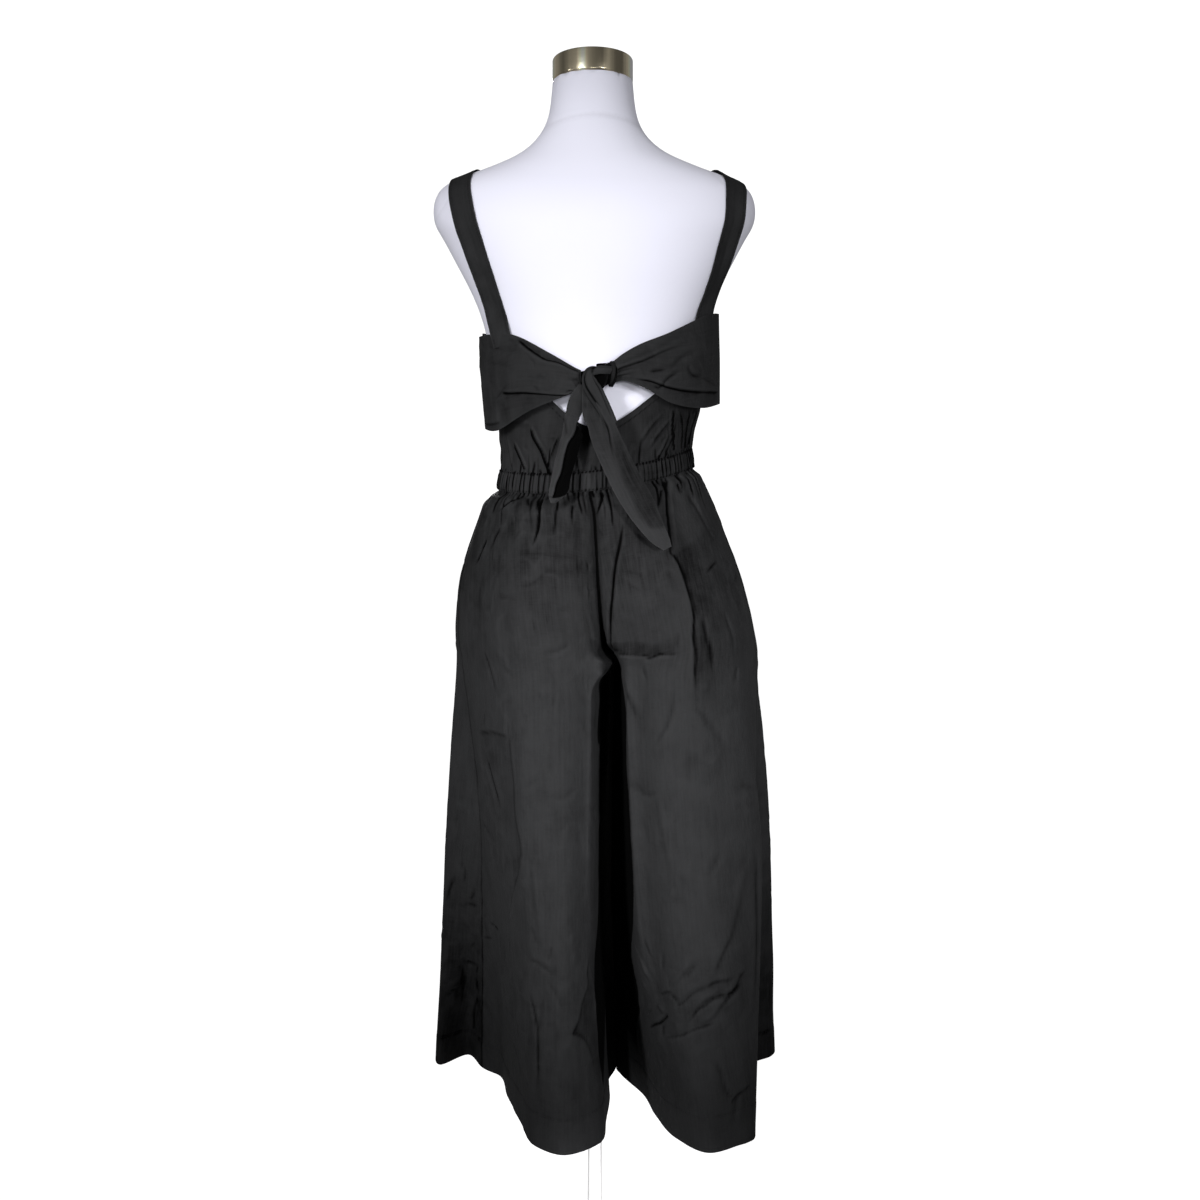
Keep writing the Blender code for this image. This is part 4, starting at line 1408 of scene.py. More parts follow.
BACK_LEFT_CREASES = creases_of("""
    shade  .45 1.6 .3 .1 1 24  5,889 6,866 7,843 8,818
    trough 4.2 2.2 .1 .5  -60,1035 -64,1009 -73,977
    trough 2.6 1.9 .1 .6  -77,1037 -76,1026
    trough 3 2.2 .1 .6  -87,1037 -102,1028 -118,1014
    trough 2.4 2.2 .1 .6  -25,1030 -26,1004
    trough 2.2 2.6 .1 .6  -42,1032 -45,1008 -50,992
    trough 3 2.6 .3 .4  -126,988 -134,970 -142,953
    trough 2 3 .4 .5  -108,1005 -118,988 -124,968
    trough 2.2 1.8 .3 .4  -132,857 -124,830 -115,803
    trough 1.6 2.6 .4 .4  -73,903 -67,879
    ledge  2.1 1.8 .2 .1 1 12  -140,750 -121,755 -101,757
    trough 1.6 2.4 .4 .3  -131,782 -132,760
    ledge  2 2.4 .1 .3 1 16  -99,759 -97,735 -95,708 -91,659 -86,628 -85,606 -92,570
    trough 2.4 2 .2 .3  -130,720 -121,690 -112,662
    trough 2.6 1.8 .2 .3  -133,496 -126,498 -119,501
    trough 2 1.7 .2 .3  -144,465 -137,469 -129,474
    ledge  2 2.6 .1 .5 1 14  -89,620 -88,600 -93,580 -98,557 -101,529
    trough 1.6 1.8 .3 .3  -117,487 -118,464
    trough 1.4 1.8 .3 .3  -110,488 -112,459
    trough 1.2 1.8 .3 .3  -103,509 -103,481
    trough 1.8 1.8 .3 .3  -50,515 -52,495
    trough 2.2 2.2 .3 .3  -79,462 -72,435 -67,410 -67,368 -69,327
    trough 1.6 2 .3 .2  -61,456 -62,434 -64,409
    trough 1.6 2.4 .3 .4  -55,476 -43,456 -33,434
    ledge  2 2.6 .2 .02 -1 14  -6,497 -9,478 -9,462 -15,445 -20,425 -27,409
    ledge  1.7 2.6 .02 .3 -1 16  -27,411 -17,403 -10,393 -5,380 -1,358
    shade  .16 3 .1 .1 1 26  -2,516 -6,497 -9,478 -9,462 -15,445 -20,425 -27,409 -17,401 -10,390 -5,376 \
        -1,354 7,329
    ridge  1.4 2.6 .3 .4  -8,492 -3,463 1,432 3,394
    trough 1.4 2.2 .3 .4  -81,487 -71,494 -57,489 -41,479
    trough 1.4 2.6 .2 .3  -105,369 -95,352 -88,329
    ridge  1.4 4 .4 .4  -42,870 -46,780 -44,690
    ridge  1.5 4 .4 .4  -72,640 -66,560 -58,500
    trough 1.6 2.6 .2 .5  -28,872 -44,862 -66,858
    trough 1.2 2.6 .3 .5  -20,700 -38,690 -58,694
    trough 1.4 2.8 .4 .5  -58,952 -72,940 -92,936
    trough 1.6 2.6 .2 .5  -146,640 -132,624 -116,616
    shade  1.3 1.8 .02 .05 1 130  28,851 23,838 14,828 10,819 9,788 7,758 9,728 10,693 9,607 7,527 4,496 \
        2,446 5,416 8,365 12,333 15,307
""")
BACK_RIGHT_CREASES = creases_of("""
    trough 3.6 2.2 .1 .5  9,1043 7,1030 2,1016
    trough 2.8 2.2 .1 .5  80,1048 74,1022
    trough 4.4 2.2 .05 .35  82,1055 86,1027 89,991 91,962
    trough 3 2 .1 .5  98,1052 105,1036
    trough 3 2.4 .2 .2  34,1014 29,984 23,955 19,909 24,847
    ledge  2.3 2.2 .05 .15 -1 16  21,858 32,856 45,857 56,855 66,853 72,856 81,859 90,859 100,859
    shade  .24 1.6 .1 .3 1 9  21,858 32,856 45,857 56,855 66,853 72,856 81,859 90,859 100,859
    trough 1.6 2.4 .4 .3  97,885 97,864
    ledge  2.9 2.4 .05 .3 -1 24  90,976 101,952 107,934 113,910 114,876 116,843 118,795
    shade  .16 3 .05 .4 1 60  90,976 101,952 107,934 113,910 114,876 116,843 120,795 130,740
    shade  1.3 2.2 .02 .1 -1 130  27,847 30,823 34,799 36,757 36,726 40,690 42,653 45,605 47,556 45,531 \
        43,481 44,462 48,443 53,407 51,378 51,359 53,335 56,309
    trough 2 1.7 .15 .3  125,902 129,880 135,847 138,826
    trough 1.7 3.6 .15 .4  116,797 129,783 143,760 158,736
    trough 1.8 3 .1 .5  28,841 42,798 55,757
    trough 1.8 3 .3 .4  95,823 87,779 65,742
    trough 2 2.6 .3 .4  130,947 138,955 147,961
    trough 2.9 1.4 .3 .05  64,391 71,400 78,409 83,417 87,424
    trough 2.2 1.6 .2 .3  83,409 83,400 82,391
    ledge  2 2.2 .2 .3 1 9  75,432 79,427 86,426
    ledge  2.3 1.6 .2 .2 -1 12  83,392 95,399 107,406 118,414 128,417 139,419 147,423
    ledge  2.3 1.8 .3 .1 -1 11  110,422 116,430 123,436 131,442 138,447 145,450 156,453
    ledge  2.2 1.6 .1 .2 1 10  157,453 165,457 170,463 175,469 180,471
    ledge  2.2 1.6 .2 .3 -1 10  149,431 151,439 156,444 162,450 170,454 176,458
    ledge  1.9 1.6 .1 .3 1 10  132,462 135,468 144,470 153,471 165,470
    trough 1.9 1.7 .2 .1  95,440 105,445 114,454 122,460 132,462
    trough 1.9 2 .3 .3  108,475 114,484 118,492
    ledge  2 1.6 .2 .3 1 9  80,446 87,454 92,457
    trough 2 1.6 .2 .3  91,452 96,447 100,445
    ridge  2.2 2.6 .3 .3  113,434 125,446 139,455 151,460
    ridge  2 2.6 .3 .3  125,423 137,430 145,441 155,449
    ridge  1.8 2.6 .3 .4  88,459 98,475 108,489 117,505
    ledge  2 2.6 .3 .2 -1 14  180,572 172,550 163,523 150,498 139,474
    ridge  1.6 3 .3 .4  185,609 175,576 163,546
    ridge  1.5 1.8 .2 .3  45,501 55,484 62,467 69,457
    trough 1.6 1.8 .2 .4  137,597 144,611 151,622
    trough 2 1.8 .3 .05  142,378 149,359 156,339 161,327
    ledge  2.4 1.8 .05 .2 1 10  161,323 170,329 180,333 188,337
    trough 1.6 1.8 .1 .4  171,326 169,309 166,294
    trough 2.2 5 .3 .4  193,639 197,489 190,390
    trough 1.4 2.6 .3 .5  44,1000 60,990 72,976
    trough 1.8 2.8 .1 .6  112,1040 128,1010 142,982
    trough 1.6 3 .3 .5  150,905 160,880 163,850
    ridge  1.4 4 .4 .4  70,720 84,640 104,560
    trough 1.6 2.8 .3 .4  172,700 186,690 196,684
    trough 1.4 3 .3 .5  40,700 62,690 80,698
""")
FRONT_LEFT_CREASES = creases_of("""
    trough 2.4 2.8 .2 .5  -184,530 -159,540 -138,540
    trough 2.2 2.6 .2 .5  -184,516 -165,514 -146,513
    trough 2.2 2.6 .2 .5  -194,482 -174,501 -149,499
    trough 3.6 2.6 .05 .5  -64,1036 -72,1006 -84,972
    trough 3 2.4 .05 .5  -38,1038 -40,1008 -46,984
    trough 2.6 2.4 .05 .5  -96,1036 -112,1012 -124,990
    trough 2 4 .4 .4  -120,900 -126,830 -136,740
    trough 2.2 4.4 .4 .3  -60,820 -66,700 -76,560
    trough 1.8 3 .1 .5  -20,850 -52,838 -90,840
    trough 1.6 3.4 .3 .4  -100,700 -126,690 -150,700
    trough 2.4 5 .4 .2  -40,520 -46,420 -44,320
    trough 2.4 5 .4 .2  -136,480 -146,400 -150,310
    ridge  1.5 4.4 .4 .4  -92,640 -98,520 -102,420
""")
FRONT_LEFT_BEHIND = creases_of("""
    trough 2 1.8 .1 .05  -154,368 -158,357 -161,336 -163,311
    trough 2 1.8 .1 .3  -179,413 -175,389 -174,367 -177,342
    trough 2 1.8 .3 .3  -156,399 -155,374
    trough 2 1.7 .1 .3  -171,566 -167,549 -165,535
    trough 2 1.8 .3 .2  -153,532 -157,520 -161,509
    trough 1.8 1.8 .3 .3  -166,506 -158,508 -149,508
    trough 1.8 2 .3 .3  -164,445 -156,450
    trough 2.2 2.8 .2 .2  -180,540 -184,530 -187,519 -191,503
    trough 1.9 2 .2 .2  -173,415 -163,419 -155,415 -158,404
    trough 2 3.4 .2 .2  -195,364 -187,372 -181,359
""")
FRONT_RIGHT_CREASES = creases_of("""
    trough 3.6 2.6 .05 .5  58,1044 64,1010 74,970
    trough 2.8 2.4 .05 .5  34,1042 36,1016 40,996
    trough 3 2.4 .05 .5  90,1048 106,1020 120,990
    trough 2.2 4 .4 .4  140,930 150,860 160,780
    trough 2.2 4.4 .4 .3  70,840 84,720 100,590
    trough 1.8 3 .1 .5  30,846 60,842 96,850
    trough 1.6 3.2 .3 .4  120,690 146,676 172,680
    trough 2.4 5 .4 .2  80,520 92,420 100,320
    trough 2.4 5 .4 .2  170,520 184,420 192,320
    ridge  1.5 4.4 .4 .4  124,660 136,540 146,430
    trough 2 3 .2 .5  196,560 180,548 160,550
""")


@dataclass(frozen=True)
class Panel:
    """One trouser panel.

    Attributes:
        name: which one it is, as its piece and its CAD node both say.
        folds: its own long folds.
        partner: those of the other panel of its leg.
        twin: those of the same panel of the other leg.
        creases: the small folds pressed into it.
        is_back: it is a back panel.
        columns: spans across.
        seed: for its gathers.
        behind: small folds where a front panel shows from behind.
    """

    name: str
    folds: tuple[Fold, ...]
    partner: tuple[Fold, ...]
    twin: tuple[Fold, ...]
    creases: tuple[Crease, ...]
    is_back: bool
    columns: int
    seed: int
    behind: tuple[Crease, ...] = ()


@dataclass
class Trousers:
    """Four wide panels that hang from the waist casing."""

    finishes: Finishes
    levels: tuple[tuple[str, float], ...] = (
        ("yoke", 1019),
        ("hip", 985),
        ("seat", 915),
        ("tuck", 866),
        ("fork", 835),
        ("knee", 580),
        ("hem", 266),
    )
    above_fork: tuple[str, ...] = ("waist", "hip", "seat", "tuck")
    casing_join: float = 2.4 * MM
    yoke_puff: float = 0.68
    side_puff: float = 0.5
    puff: float = 4.5 * MM
    hem_depth: float = 41 * MM
    centre_low: float = 830 * MM  # the centre seams close from here up
    centre_high: float = 850 * MM  # to here
    lap_height: float = 842 * MM
    lap_reach: float = 19 * MM
    tucked_rows: int = 3
    back_rows: tuple[tuple[float, float, int], ...] = (
        (1045, 930, 66), (930, 800, 44), (800, 580, 56), (580, 350, 90), (350, 266, 24),
    )  # from and to (mm), and how many
    front_rows: tuple[tuple[float, float, int], ...] = ((1045, 930, 50), (930, 800, 38), (800, 266, 120))
    seat_pull: Pair = (836 * MM, 862 * MM)  # heights over which the centre seam comes to be drawn in
    seam_spread: Pair = (970 * MM, 880 * MM)  # heights over which its groove widens
    inner_shade: float = 1.4  # painted shade between the legs: how dark it is, and how far from the inner seams
    inner_start: Pair = (846 * MM, 812 * MM)
    fork_reach: float = 64 * MM
    hem_reach: float = 38 * MM
    reach_change: Pair = (520 * MM, 440 * MM)
    front_reach: float = 122 * MM
    # painted shade over the hips, lighter towards the outer right hip
    hip_height: float = 976 * MM
    hip_spread: float = 88 * MM
    hip_shade: float = 0.34
    outer_hip_shade: float = 0.14
    outer_hip: Pair = (84 * MM, 118 * MM)
    behind_shade: float = 0.4  # painted shade of a front panel where it shows from behind
    behind_start: Pair = (660 * MM, 360 * MM)

    def panels(self) -> tuple[Panel, ...]:
        """The four panels of the cut."""
        return (
            Panel("back_left", BACK_LEFT, FRONT_LEFT, BACK_RIGHT, BACK_LEFT_CREASES, True, 160, 3),
            Panel("back_right", BACK_RIGHT, FRONT_RIGHT, BACK_LEFT, BACK_RIGHT_CREASES, True, 160, 8),
            Panel(
                "front_left", FRONT_LEFT, BACK_LEFT, FRONT_RIGHT, FRONT_LEFT_CREASES, False, 100, 12,
                behind=FRONT_LEFT_BEHIND,
            ),
            Panel("front_right", FRONT_RIGHT, BACK_RIGHT, FRONT_LEFT, FRONT_RIGHT_CREASES, False, 100, 19),
        )

    def outline(self, level: str, panel: Panel, places: Array) -> Array:
        """Plan points across a panel at a level, smooth over its seams into its neighbours.

        Args:
            level: its name.
            panel: the panel.
            places: shares of the way across.

        Returns:
            (x, y) in metres for each place.
        """
        centre = panel.twin if level in self.above_fork else panel.partner
        inner = centre[1] if panel.is_back else centre[-2]
        if not panel.is_back:
            first = (panel.partner[-2].share - 1, panel.partner[-2])
            last = (2 - inner.share, inner) if centre is panel.twin else (1 + centre[1].share, centre[1])
        else:
            first = (-inner.share, inner) if centre is panel.twin else (centre[-2].share - 1, centre[-2])
            last = (1 + panel.partner[1].share, panel.partner[1])
        rows = [first, *((fold.share, fold) for fold in panel.folds), last]
        return spline([share for share, _ in rows], [getattr(fold, level) for _, fold in rows], places) * MM

    def grid(self, panel: Panel) -> Array:
        """Rows of points from inside the casing down to the hem.

        Args:
            panel: the panel.

        Returns:
            Rows x columns x 3, in metres.
        """
        across = np.linspace(0, 1, panel.columns + 1)
        waist, hip = (self.outline(name, panel, across) for name in ("waist", "hip"))
        height = waist_line(waist[:, 0], CASING_LOW) - self.casing_join
        sections = [np.column_stack([waist, height])]
        for level, z in self.levels:
            plan = self.outline("hip" if level == "yoke" else level, panel, across)
            if level == "yoke":
                share = mixed(self.side_puff, self.yoke_puff, smoothstep(waist[:, 0], -0.11, -0.07))
                plan = mixed(waist, hip, share[:, None])
            sections.append(np.column_stack([plan, np.full(len(across), z * MM)]))
        knots = -np.array([CASING_LOW, *(z * MM for _, z in self.levels)])
        steps = self.back_rows if panel.is_back else self.front_rows
        places = [np.linspace(-high, -low, count, endpoint=False) for high, low, count in steps]
        hanging = spline(knots, sections, np.concatenate([*places, [-steps[-1][1]]]) * MM, level=True)
        below = waist_line(waist[:, 0], CASING_LOW) - hanging[..., 2]
        way = waist / np.linalg.norm(waist, axis=1, keepdims=True)
        puff = self.puff * smoothstep(below, 2 * MM, 9 * MM) * smoothstep(below, 44 * MM, 12 * MM)
        hanging[..., :2] += puff[..., None] * way
        return self.tucked(hanging)

    def tucked(self, grid: Array) -> Array:
        """Adds the rows that go up inside the casing."""
        inward = grid[0] * (1, 1, 0) / np.linalg.norm(grid[0, :, :2], axis=1, keepdims=True)
        steps = range(self.tucked_rows, 0, -1)
        rows = [grid[0] + (0, 0, 2.2 * MM * step) - inward * 0.8 * MM * step for step in steps]
        return np.concatenate([rows, grid])

    def close_centre(self, left: Array, right: Array, column: int) -> None:
        """Brings the two panels of a centre seam together, down to the fork.

        Args:
            left: rows of the left leg's panel.
            right: rows of the right leg's panel.
            column: the one at the seam.
        """
        middle = (left[:, column] + right[:, column]) / 2
        hold = smoothstep(middle[:, 2], self.centre_low, self.centre_high)[:, None]
        for grid in (left, right):
            grid[:, column] += hold * (middle - grid[:, column])

    def lap(self, grid: Array) -> None:
        """Draws the left leg's inner edge across to the right, just under the seat.

        Args:
            grid: rows of the left back panel.
        """
        share = np.linspace(0, 1, grid.shape[1])
        below = self.lap_height - grid[..., 2]
        near = bump(np.maximum(below, 0) / self.lap_reach) * bump(np.maximum(-below, 0) / (9 * MM))
        across = smoothstep(share, 0, 0.1) * (1 - smoothstep(share, 0.2, 0.42))
        grid[..., 0] += self.lap_reach * near * across

    def dress(self, panel: Panel, grid: Array) -> Sheet:
        """Presses a panel's folds in, draws its seams and hem in, and paints shade between the legs, over
        the hips and where a front panel shows from behind.

        Args:
            panel: the panel.
            grid: its smooth rows of points.

        Returns:
            The panel's cloth, before its seams are welded.
        """
        facing = -1 if panel.is_back else 1
        sheet = Sheet.turned(grid, 60, 40, (0, facing, 0), facing).press(*panel.creases)
        sheet.facing = -1
        sheet.press(*panel.behind)
        sheet.gather(panel.seed, 5.6, (0.8, 2.6), (10, 64))
        sheet.gather(panel.seed + 1, 24, (1.0, 2.4), (40, 110), 0.16)
        sheet.ruffle(1.0, 0.5)
        sheet.scatter(panel.seed + 2, 110 if panel.is_back else 60, (0.3, 1.5), (9, 34))
        middle, side = (sheet.from_first, sheet.from_last)[:: 1 if panel.is_back else -1]
        x, z = sheet.base[..., 0], sheet.base[..., 2]
        pull = 1.1 + (2.6 if panel.is_back else 1.0) * smoothstep(z, *self.seat_pull)
        sheet.seam(side).seam(middle, pull, 1.4 + 0.8 * smoothstep(z, *self.seam_spread))
        if not panel.is_back:
            # painted shade where a front panel turns to the back, low on the leg
            turned = smoothstep(sheet.normals[..., 1], 0.0, -0.4)
            sheet.tone -= self.behind_shade * turned * smoothstep(z, *self.behind_start)
        reach = self.front_reach
        if panel.is_back:
            reach = mixed(self.fork_reach, self.hem_reach, smoothstep(z, *self.reach_change))
        # painted shade between the legs, below the fork
        below_fork = smoothstep(z, *self.inner_start)
        sheet.tone -= self.inner_shade * below_fork * (1 - smoothstep(middle, 0.5 * reach, reach))
        # painted shade over the hips
        hips = mixed(self.hip_shade, self.outer_hip_shade, smoothstep(x, *self.outer_hip))
        sheet.tone -= hips * bump((z - self.hip_height) / self.hip_spread)
        return sheet.hem(self.hem_depth, 0.6, 0.4, 1.5)

    @staticmethod
    def weld(one: Sheet, end: int, other: Sheet, other_end: int, low: float, high: float) -> None:
        """Makes two panels share their folds along a seam between two heights.

        Args:
            one: a panel.
            end: 0 or -1, its edge at the seam.
            other: the other panel.
            other_end: 0 or -1, its edge at the seam.
            low: where the seam ends (m).
            high: where it starts (m).
        """
        heights = one.base[:, end, 2], other.base[:, other_end, 2]
        reliefs = one.relief[:, end].copy(), other.relief[:, other_end].copy()
        normals = one.normals[:, end].copy(), other.normals[:, other_end].copy()
        for index, (sheet, edge) in enumerate(((one, end), (other, other_end))):
            z, far = heights[index], heights[1 - index]
            order = np.argsort(far)
            across = [np.interp(z, far[order], part[order]) for part in normals[1 - index].T]
            normal = normals[index] + np.stack(across, axis=1)
            normal /= np.linalg.norm(normal, axis=1, keepdims=True)
            relief = (reliefs[index] + np.interp(z, far[order], reliefs[1 - index][order])) / 2
            hold = smoothstep(z, low - 8 * MM, low) * smoothstep(z, high, high - 8 * MM)
            spread = 10
            for step in range(spread):
                column = step if edge == 0 else -1 - step
                share = hold * (1 - step / spread)
                sheet.relief[:, column] += share * (relief - sheet.relief[:, column])
                sheet.normals[:, column] += share[:, None] * (normal - sheet.normals[:, column])

    def sew(self, panel: Panel, sheet: Sheet) -> None:
        made = cloth(sheet, "leg_" + panel.name, CLOTH, self.finishes, "trouser_" + panel.name)
        sewn = sewn_on(made, [sheet.hem_run(self.hem_depth)], self.finishes)

    def build(self) -> None:
        """Makes the four panels."""
        panels = self.panels()
        grids = [self.grid(panel) for panel in panels]
        self.lap(grids[0])
        self.close_centre(grids[0], grids[1], 0)
        self.close_centre(grids[2], grids[3], -1)
        sheets = [self.dress(panel, grid) for panel, grid in zip(panels, grids)]
        back_left, back_right, front_left, front_right = sheets
        below, above = 200 * MM, 1200 * MM
        self.weld(back_left, 0, back_right, 0, self.lap_height, above)
        self.weld(front_left, -1, front_right, -1, self.centre_high, above)
        for back, front in ((back_left, front_left), (back_right, front_right)):
            self.weld(back, -1, front, 0, below, above)
        for back, front in ((back_left, front_left), (back_right, front_right)):
            self.weld(back, 0, front, -1, below, self.centre_low)
        for panel, sheet in zip(panels, sheets):
            self.sew(panel, sheet)


# ---------------------------------------------------------------- straps, ties and knot


class StrapStep(NamedTuple):
    """A point of a strap's middle line, and how much its inner edge is lifted."""

    x: float
    y: float
    z: float
    lift: float


class TieSection(NamedTuple):
    """A tie's upper and lower edge, and how far its middle swells out."""

    top: Point
    low: Point
    swell: float


class TailSection(NamedTuple):
    """Both edges of a hanging end, and how deep its lengthwise fold is."""

    left: Point
    right: Point
    fold: float


@dataclass
class Straps:
    """Two flat shoulder straps that lie on the form between their sewn ends."""

    finishes: Finishes
    form: BVHTree
    width: float = 27 * MM
    inset: float = 2.6 * MM  # of the stitches
    laid_on: float = 1.7 * MM  # the cloth's middle off the form
    facing: float = 0.4
    probe: tuple[int, int] = (100, 8)  # row and column of a point whose outer side is plain
    left: tuple[StrapStep, ...] = rows_of(StrapStep, """
        -87  85.5  1285  -2
        -92  82.5  1303  -2
        -101  74.5  1330  -2
        -118  62  1368  -1
        -138  40  1401  2
        -149  8  1413  3
        -154  -26  1404  3
        -153  -46  1382  3
        -141.5  -57  1341  3
        -130  -61  1291  2
        -120  -63  1251  0
        -113  -65  1230  -2
        -106  -66  1212  -2
    """)
    right: tuple[StrapStep, ...] = rows_of(StrapStep, """
        87  84.5  1285  -2
        92  81.5  1303  -2
        101  74.5  1330  -2
        120  62  1368  -1
        142  40  1401  3
        155  10  1413  5
        162  -20  1403  4
        162.5  -40  1384  1
        162  -52  1352  0
        154  -50  1320  0
        147.5  -45  1296  -2
        140  -42  1274  -4
        132  -43  1250  -4
        127  -43  1232  -4
    """)

    def grid(self, steps: tuple[StrapStep, ...], rows: int = 220, columns: int = 16) -> Array:
        """Rows of points along a strap, laid on the form.

        Args:
            steps: its middle line, from its front end over the shoulder.
            rows: spans along it.
            columns: spans across.

        Returns:
            rows + 1 x columns + 1 points.
        """
        line = np.array([(s.x, s.y, s.z) for s in steps]) * MM
        along = lengths_of(line)
        places = np.linspace(0, along[-1], rows + 1)
        centres = spline(along, line, places)
        lifts = spline(along, [s.lift * MM for s in steps], places)
        out = np.array([self.form.find_nearest(Vector(centre))[1] for centre in centres])
        out = self.evened(out, 12)
        out[:, 0] *= self.facing
        inward = np.cross(np.gradient(centres, axis=0), out)
        inward *= -np.sign(inward[:, :1] * centres[:, :1]) / np.linalg.norm(inward, axis=1, keepdims=True)
        part = np.linspace(-0.5, 0.5, columns + 1)
        grid = centres[:, None] + inward[:, None] * self.width * part[None, :, None]
        grid[..., 2] += 2 * part * lifts[:, None]
        hold = np.clip(np.minimum(np.arange(rows + 1), rows - np.arange(rows + 1)) / (rows / 8), 0, 1)
        return self.lay_on(grid, hold)

    def lay_on(self, grid: Array, hold: Array) -> Array:
        """Brings rows to rest over the form: drawn on to it where hold is 1, and only kept off it at 0.

        Args:
            grid: rows of points across the strap.
            hold: from 0 to 1 for each row.

        Returns:
            The rows in their new place.
        """
        moves = []
        for points, pull in zip(grid, hold):
            middle = Vector(points[len(points) // 2])
            near, normal, _, _ = self.form.find_nearest(middle)
            moves.append(pull * np.array(near + normal * self.laid_on - middle))
        grid += self.evened(np.array(moves), 8)[:, None]
        pushes = np.zeros_like(grid)
        for row, column in np.ndindex(grid.shape[:2]):
            point = Vector(grid[row, column])
            near, normal, _, _ = self.form.find_nearest(point)
            pushes[row, column] = max(0.0, self.laid_on - (point - near).dot(normal)) * np.array(normal)
        return grid + self.evened(pushes, 2)

    @staticmethod
    def evened(rows: Array, times: int) -> Array:
        """Rows smoothed along the strap."""
        rows = rows.copy()
        for _ in range(times):
            rows[1:-1] = 0.25 * rows[:-2] + 0.5 * rows[1:-1] + 0.25 * rows[2:]
        return rows

    def sew(self, side: str, steps: tuple[StrapStep, ...], length: float) -> None:
        """Makes one strap with a row of stitches near each edge.

        Args:
            side: left or right.
            steps: its middle line.
            length: of its flat cut (m); not used.
        """
        grid = self.grid(steps)
        out = np.array(self.form.find_nearest(Vector(grid[self.probe]))[1])
        sheet = Sheet.turned(grid, *self.probe, out)
        sheet.relief += 0.5 * MM * SWELLS.at(grid, (22 * MM, 22 * MM, 30 * MM))
        sheet.ruffle(0.3, 0.3, 1.0)
        for distance in (sheet.from_first, sheet.from_last):
            sheet.stitch_line(distance - self.inset, sheet.down, 0.35)
            # painted highlight along each edge
            sheet.tone += 0.2 * bump(distance / (1 * MM))
        made = cloth(sheet, "shoulder_strap_" + side, DOUBLE, self.finishes, "strap_" + side)
        points, normals = sheet.points, sheet.face_normals(sheet.points)
        column = round(self.inset / self.width * (grid.shape[1] - 1))
        top = points + normals * DOUBLE / 2
        runs = [(top[3:-3, place], normals[3:-3, place]) for place in (column, -1 - column)]
        sewn = sewn_on(made, runs, self.finishes)

    def build(self) -> None:
        """Makes both straps."""
        self.sew("left", self.left, 0.437)
        self.sew("right", self.right, 0.417)


@dataclass(frozen=True)
class Strand:
    """A rolled length of the tie inside the knot.

    Attributes:
        path: its middle line (mm).
        half_width: across it at even steps from start to end (mm).
        half_depth: through it at even steps from start to end (mm).
        pleats: how many grooves run along its face.
        groove: how deep they are (mm).
        turn: where the grooves start round it.
        crisp_from: share of its length where it is folded over and its crisp pleats start.
        around: how far it goes round its line to each side (rad).
    """

    path: tuple[Point, ...]
    half_width: tuple[float, ...]
    half_depth: tuple[float, ...]
    pleats: int
    groove: float
    turn: float = 0.0
    crisp_from: float = 0.0
    around: float = 2.4

    def sheet(self) -> Sheet:
        """The strand as cloth rolled round its line, open along its hidden side.

        Returns:
            The strand's cloth.
        """
        line = evened(np.array(self.path) * MM, 0.9 * MM)
        along = np.linspace(0, 1, len(line))
        way = np.gradient(line, axis=0)
        way /= np.linalg.norm(way, axis=1, keepdims=True)
        side = np.cross(way, (0, -1, 0))
        side /= np.linalg.norm(side, axis=1, keepdims=True)
        out = np.cross(side, way)
        wide, deep = (
            spline(np.linspace(0, 1, len(sizes)), sizes, along, level=True)[:, None] * MM
            for sizes in (self.half_width, self.half_depth)
        )
        angle = np.linspace(-self.around, self.around, 49)
        wave = np.cos(self.pleats * angle + self.turn + 0.8 * along[:, None])
        wave += 0.5 * np.cos(self.pleats * 2.3 * angle - self.turn + 2 * along[:, None])
        swell = self.groove * MM * wave * np.cos(angle / 2)
        x = wide * np.sin(angle)
        y = deep * np.sign(np.cos(angle)) * np.abs(np.cos(angle)) ** 0.4 + swell
        grid = line[:, None] + side[:, None] * x[..., None] + out[:, None] * y[..., None]
        sheet = Sheet.turned(grid, len(line) // 2, 24, out[len(line) // 2])
        # painted shade in the grooves, a little painted highlight on their crests
        sheet.tone += self.groove * np.clip(wave, -1.2, 0.4)
        # crisp fold lines along the strand, with painted shade in them
        for middle, bend in ((-0.65, 0.9), (0.55, -0.4)):
            line = bump((angle - middle - bend * (along[:, None] - 0.7)) / 0.13)
            line *= smoothstep(along, self.crisp_from, self.crisp_from + 0.14)[:, None]
            sheet.relief -= 0.5 * MM * line
            sheet.tone -= 0.75 * line * smoothstep(1 - along, 0.02, 0.2)[:, None]
        # a folded-over corner, with painted shade in it
        corner = bump((along[:, None] - self.crisp_from + 0.03 * angle) / 0.022) * (self.crisp_from > 0)
        sheet.relief -= 0.9 * MM * corner
        sheet.tone -= 0.7 * corner
        return sheet


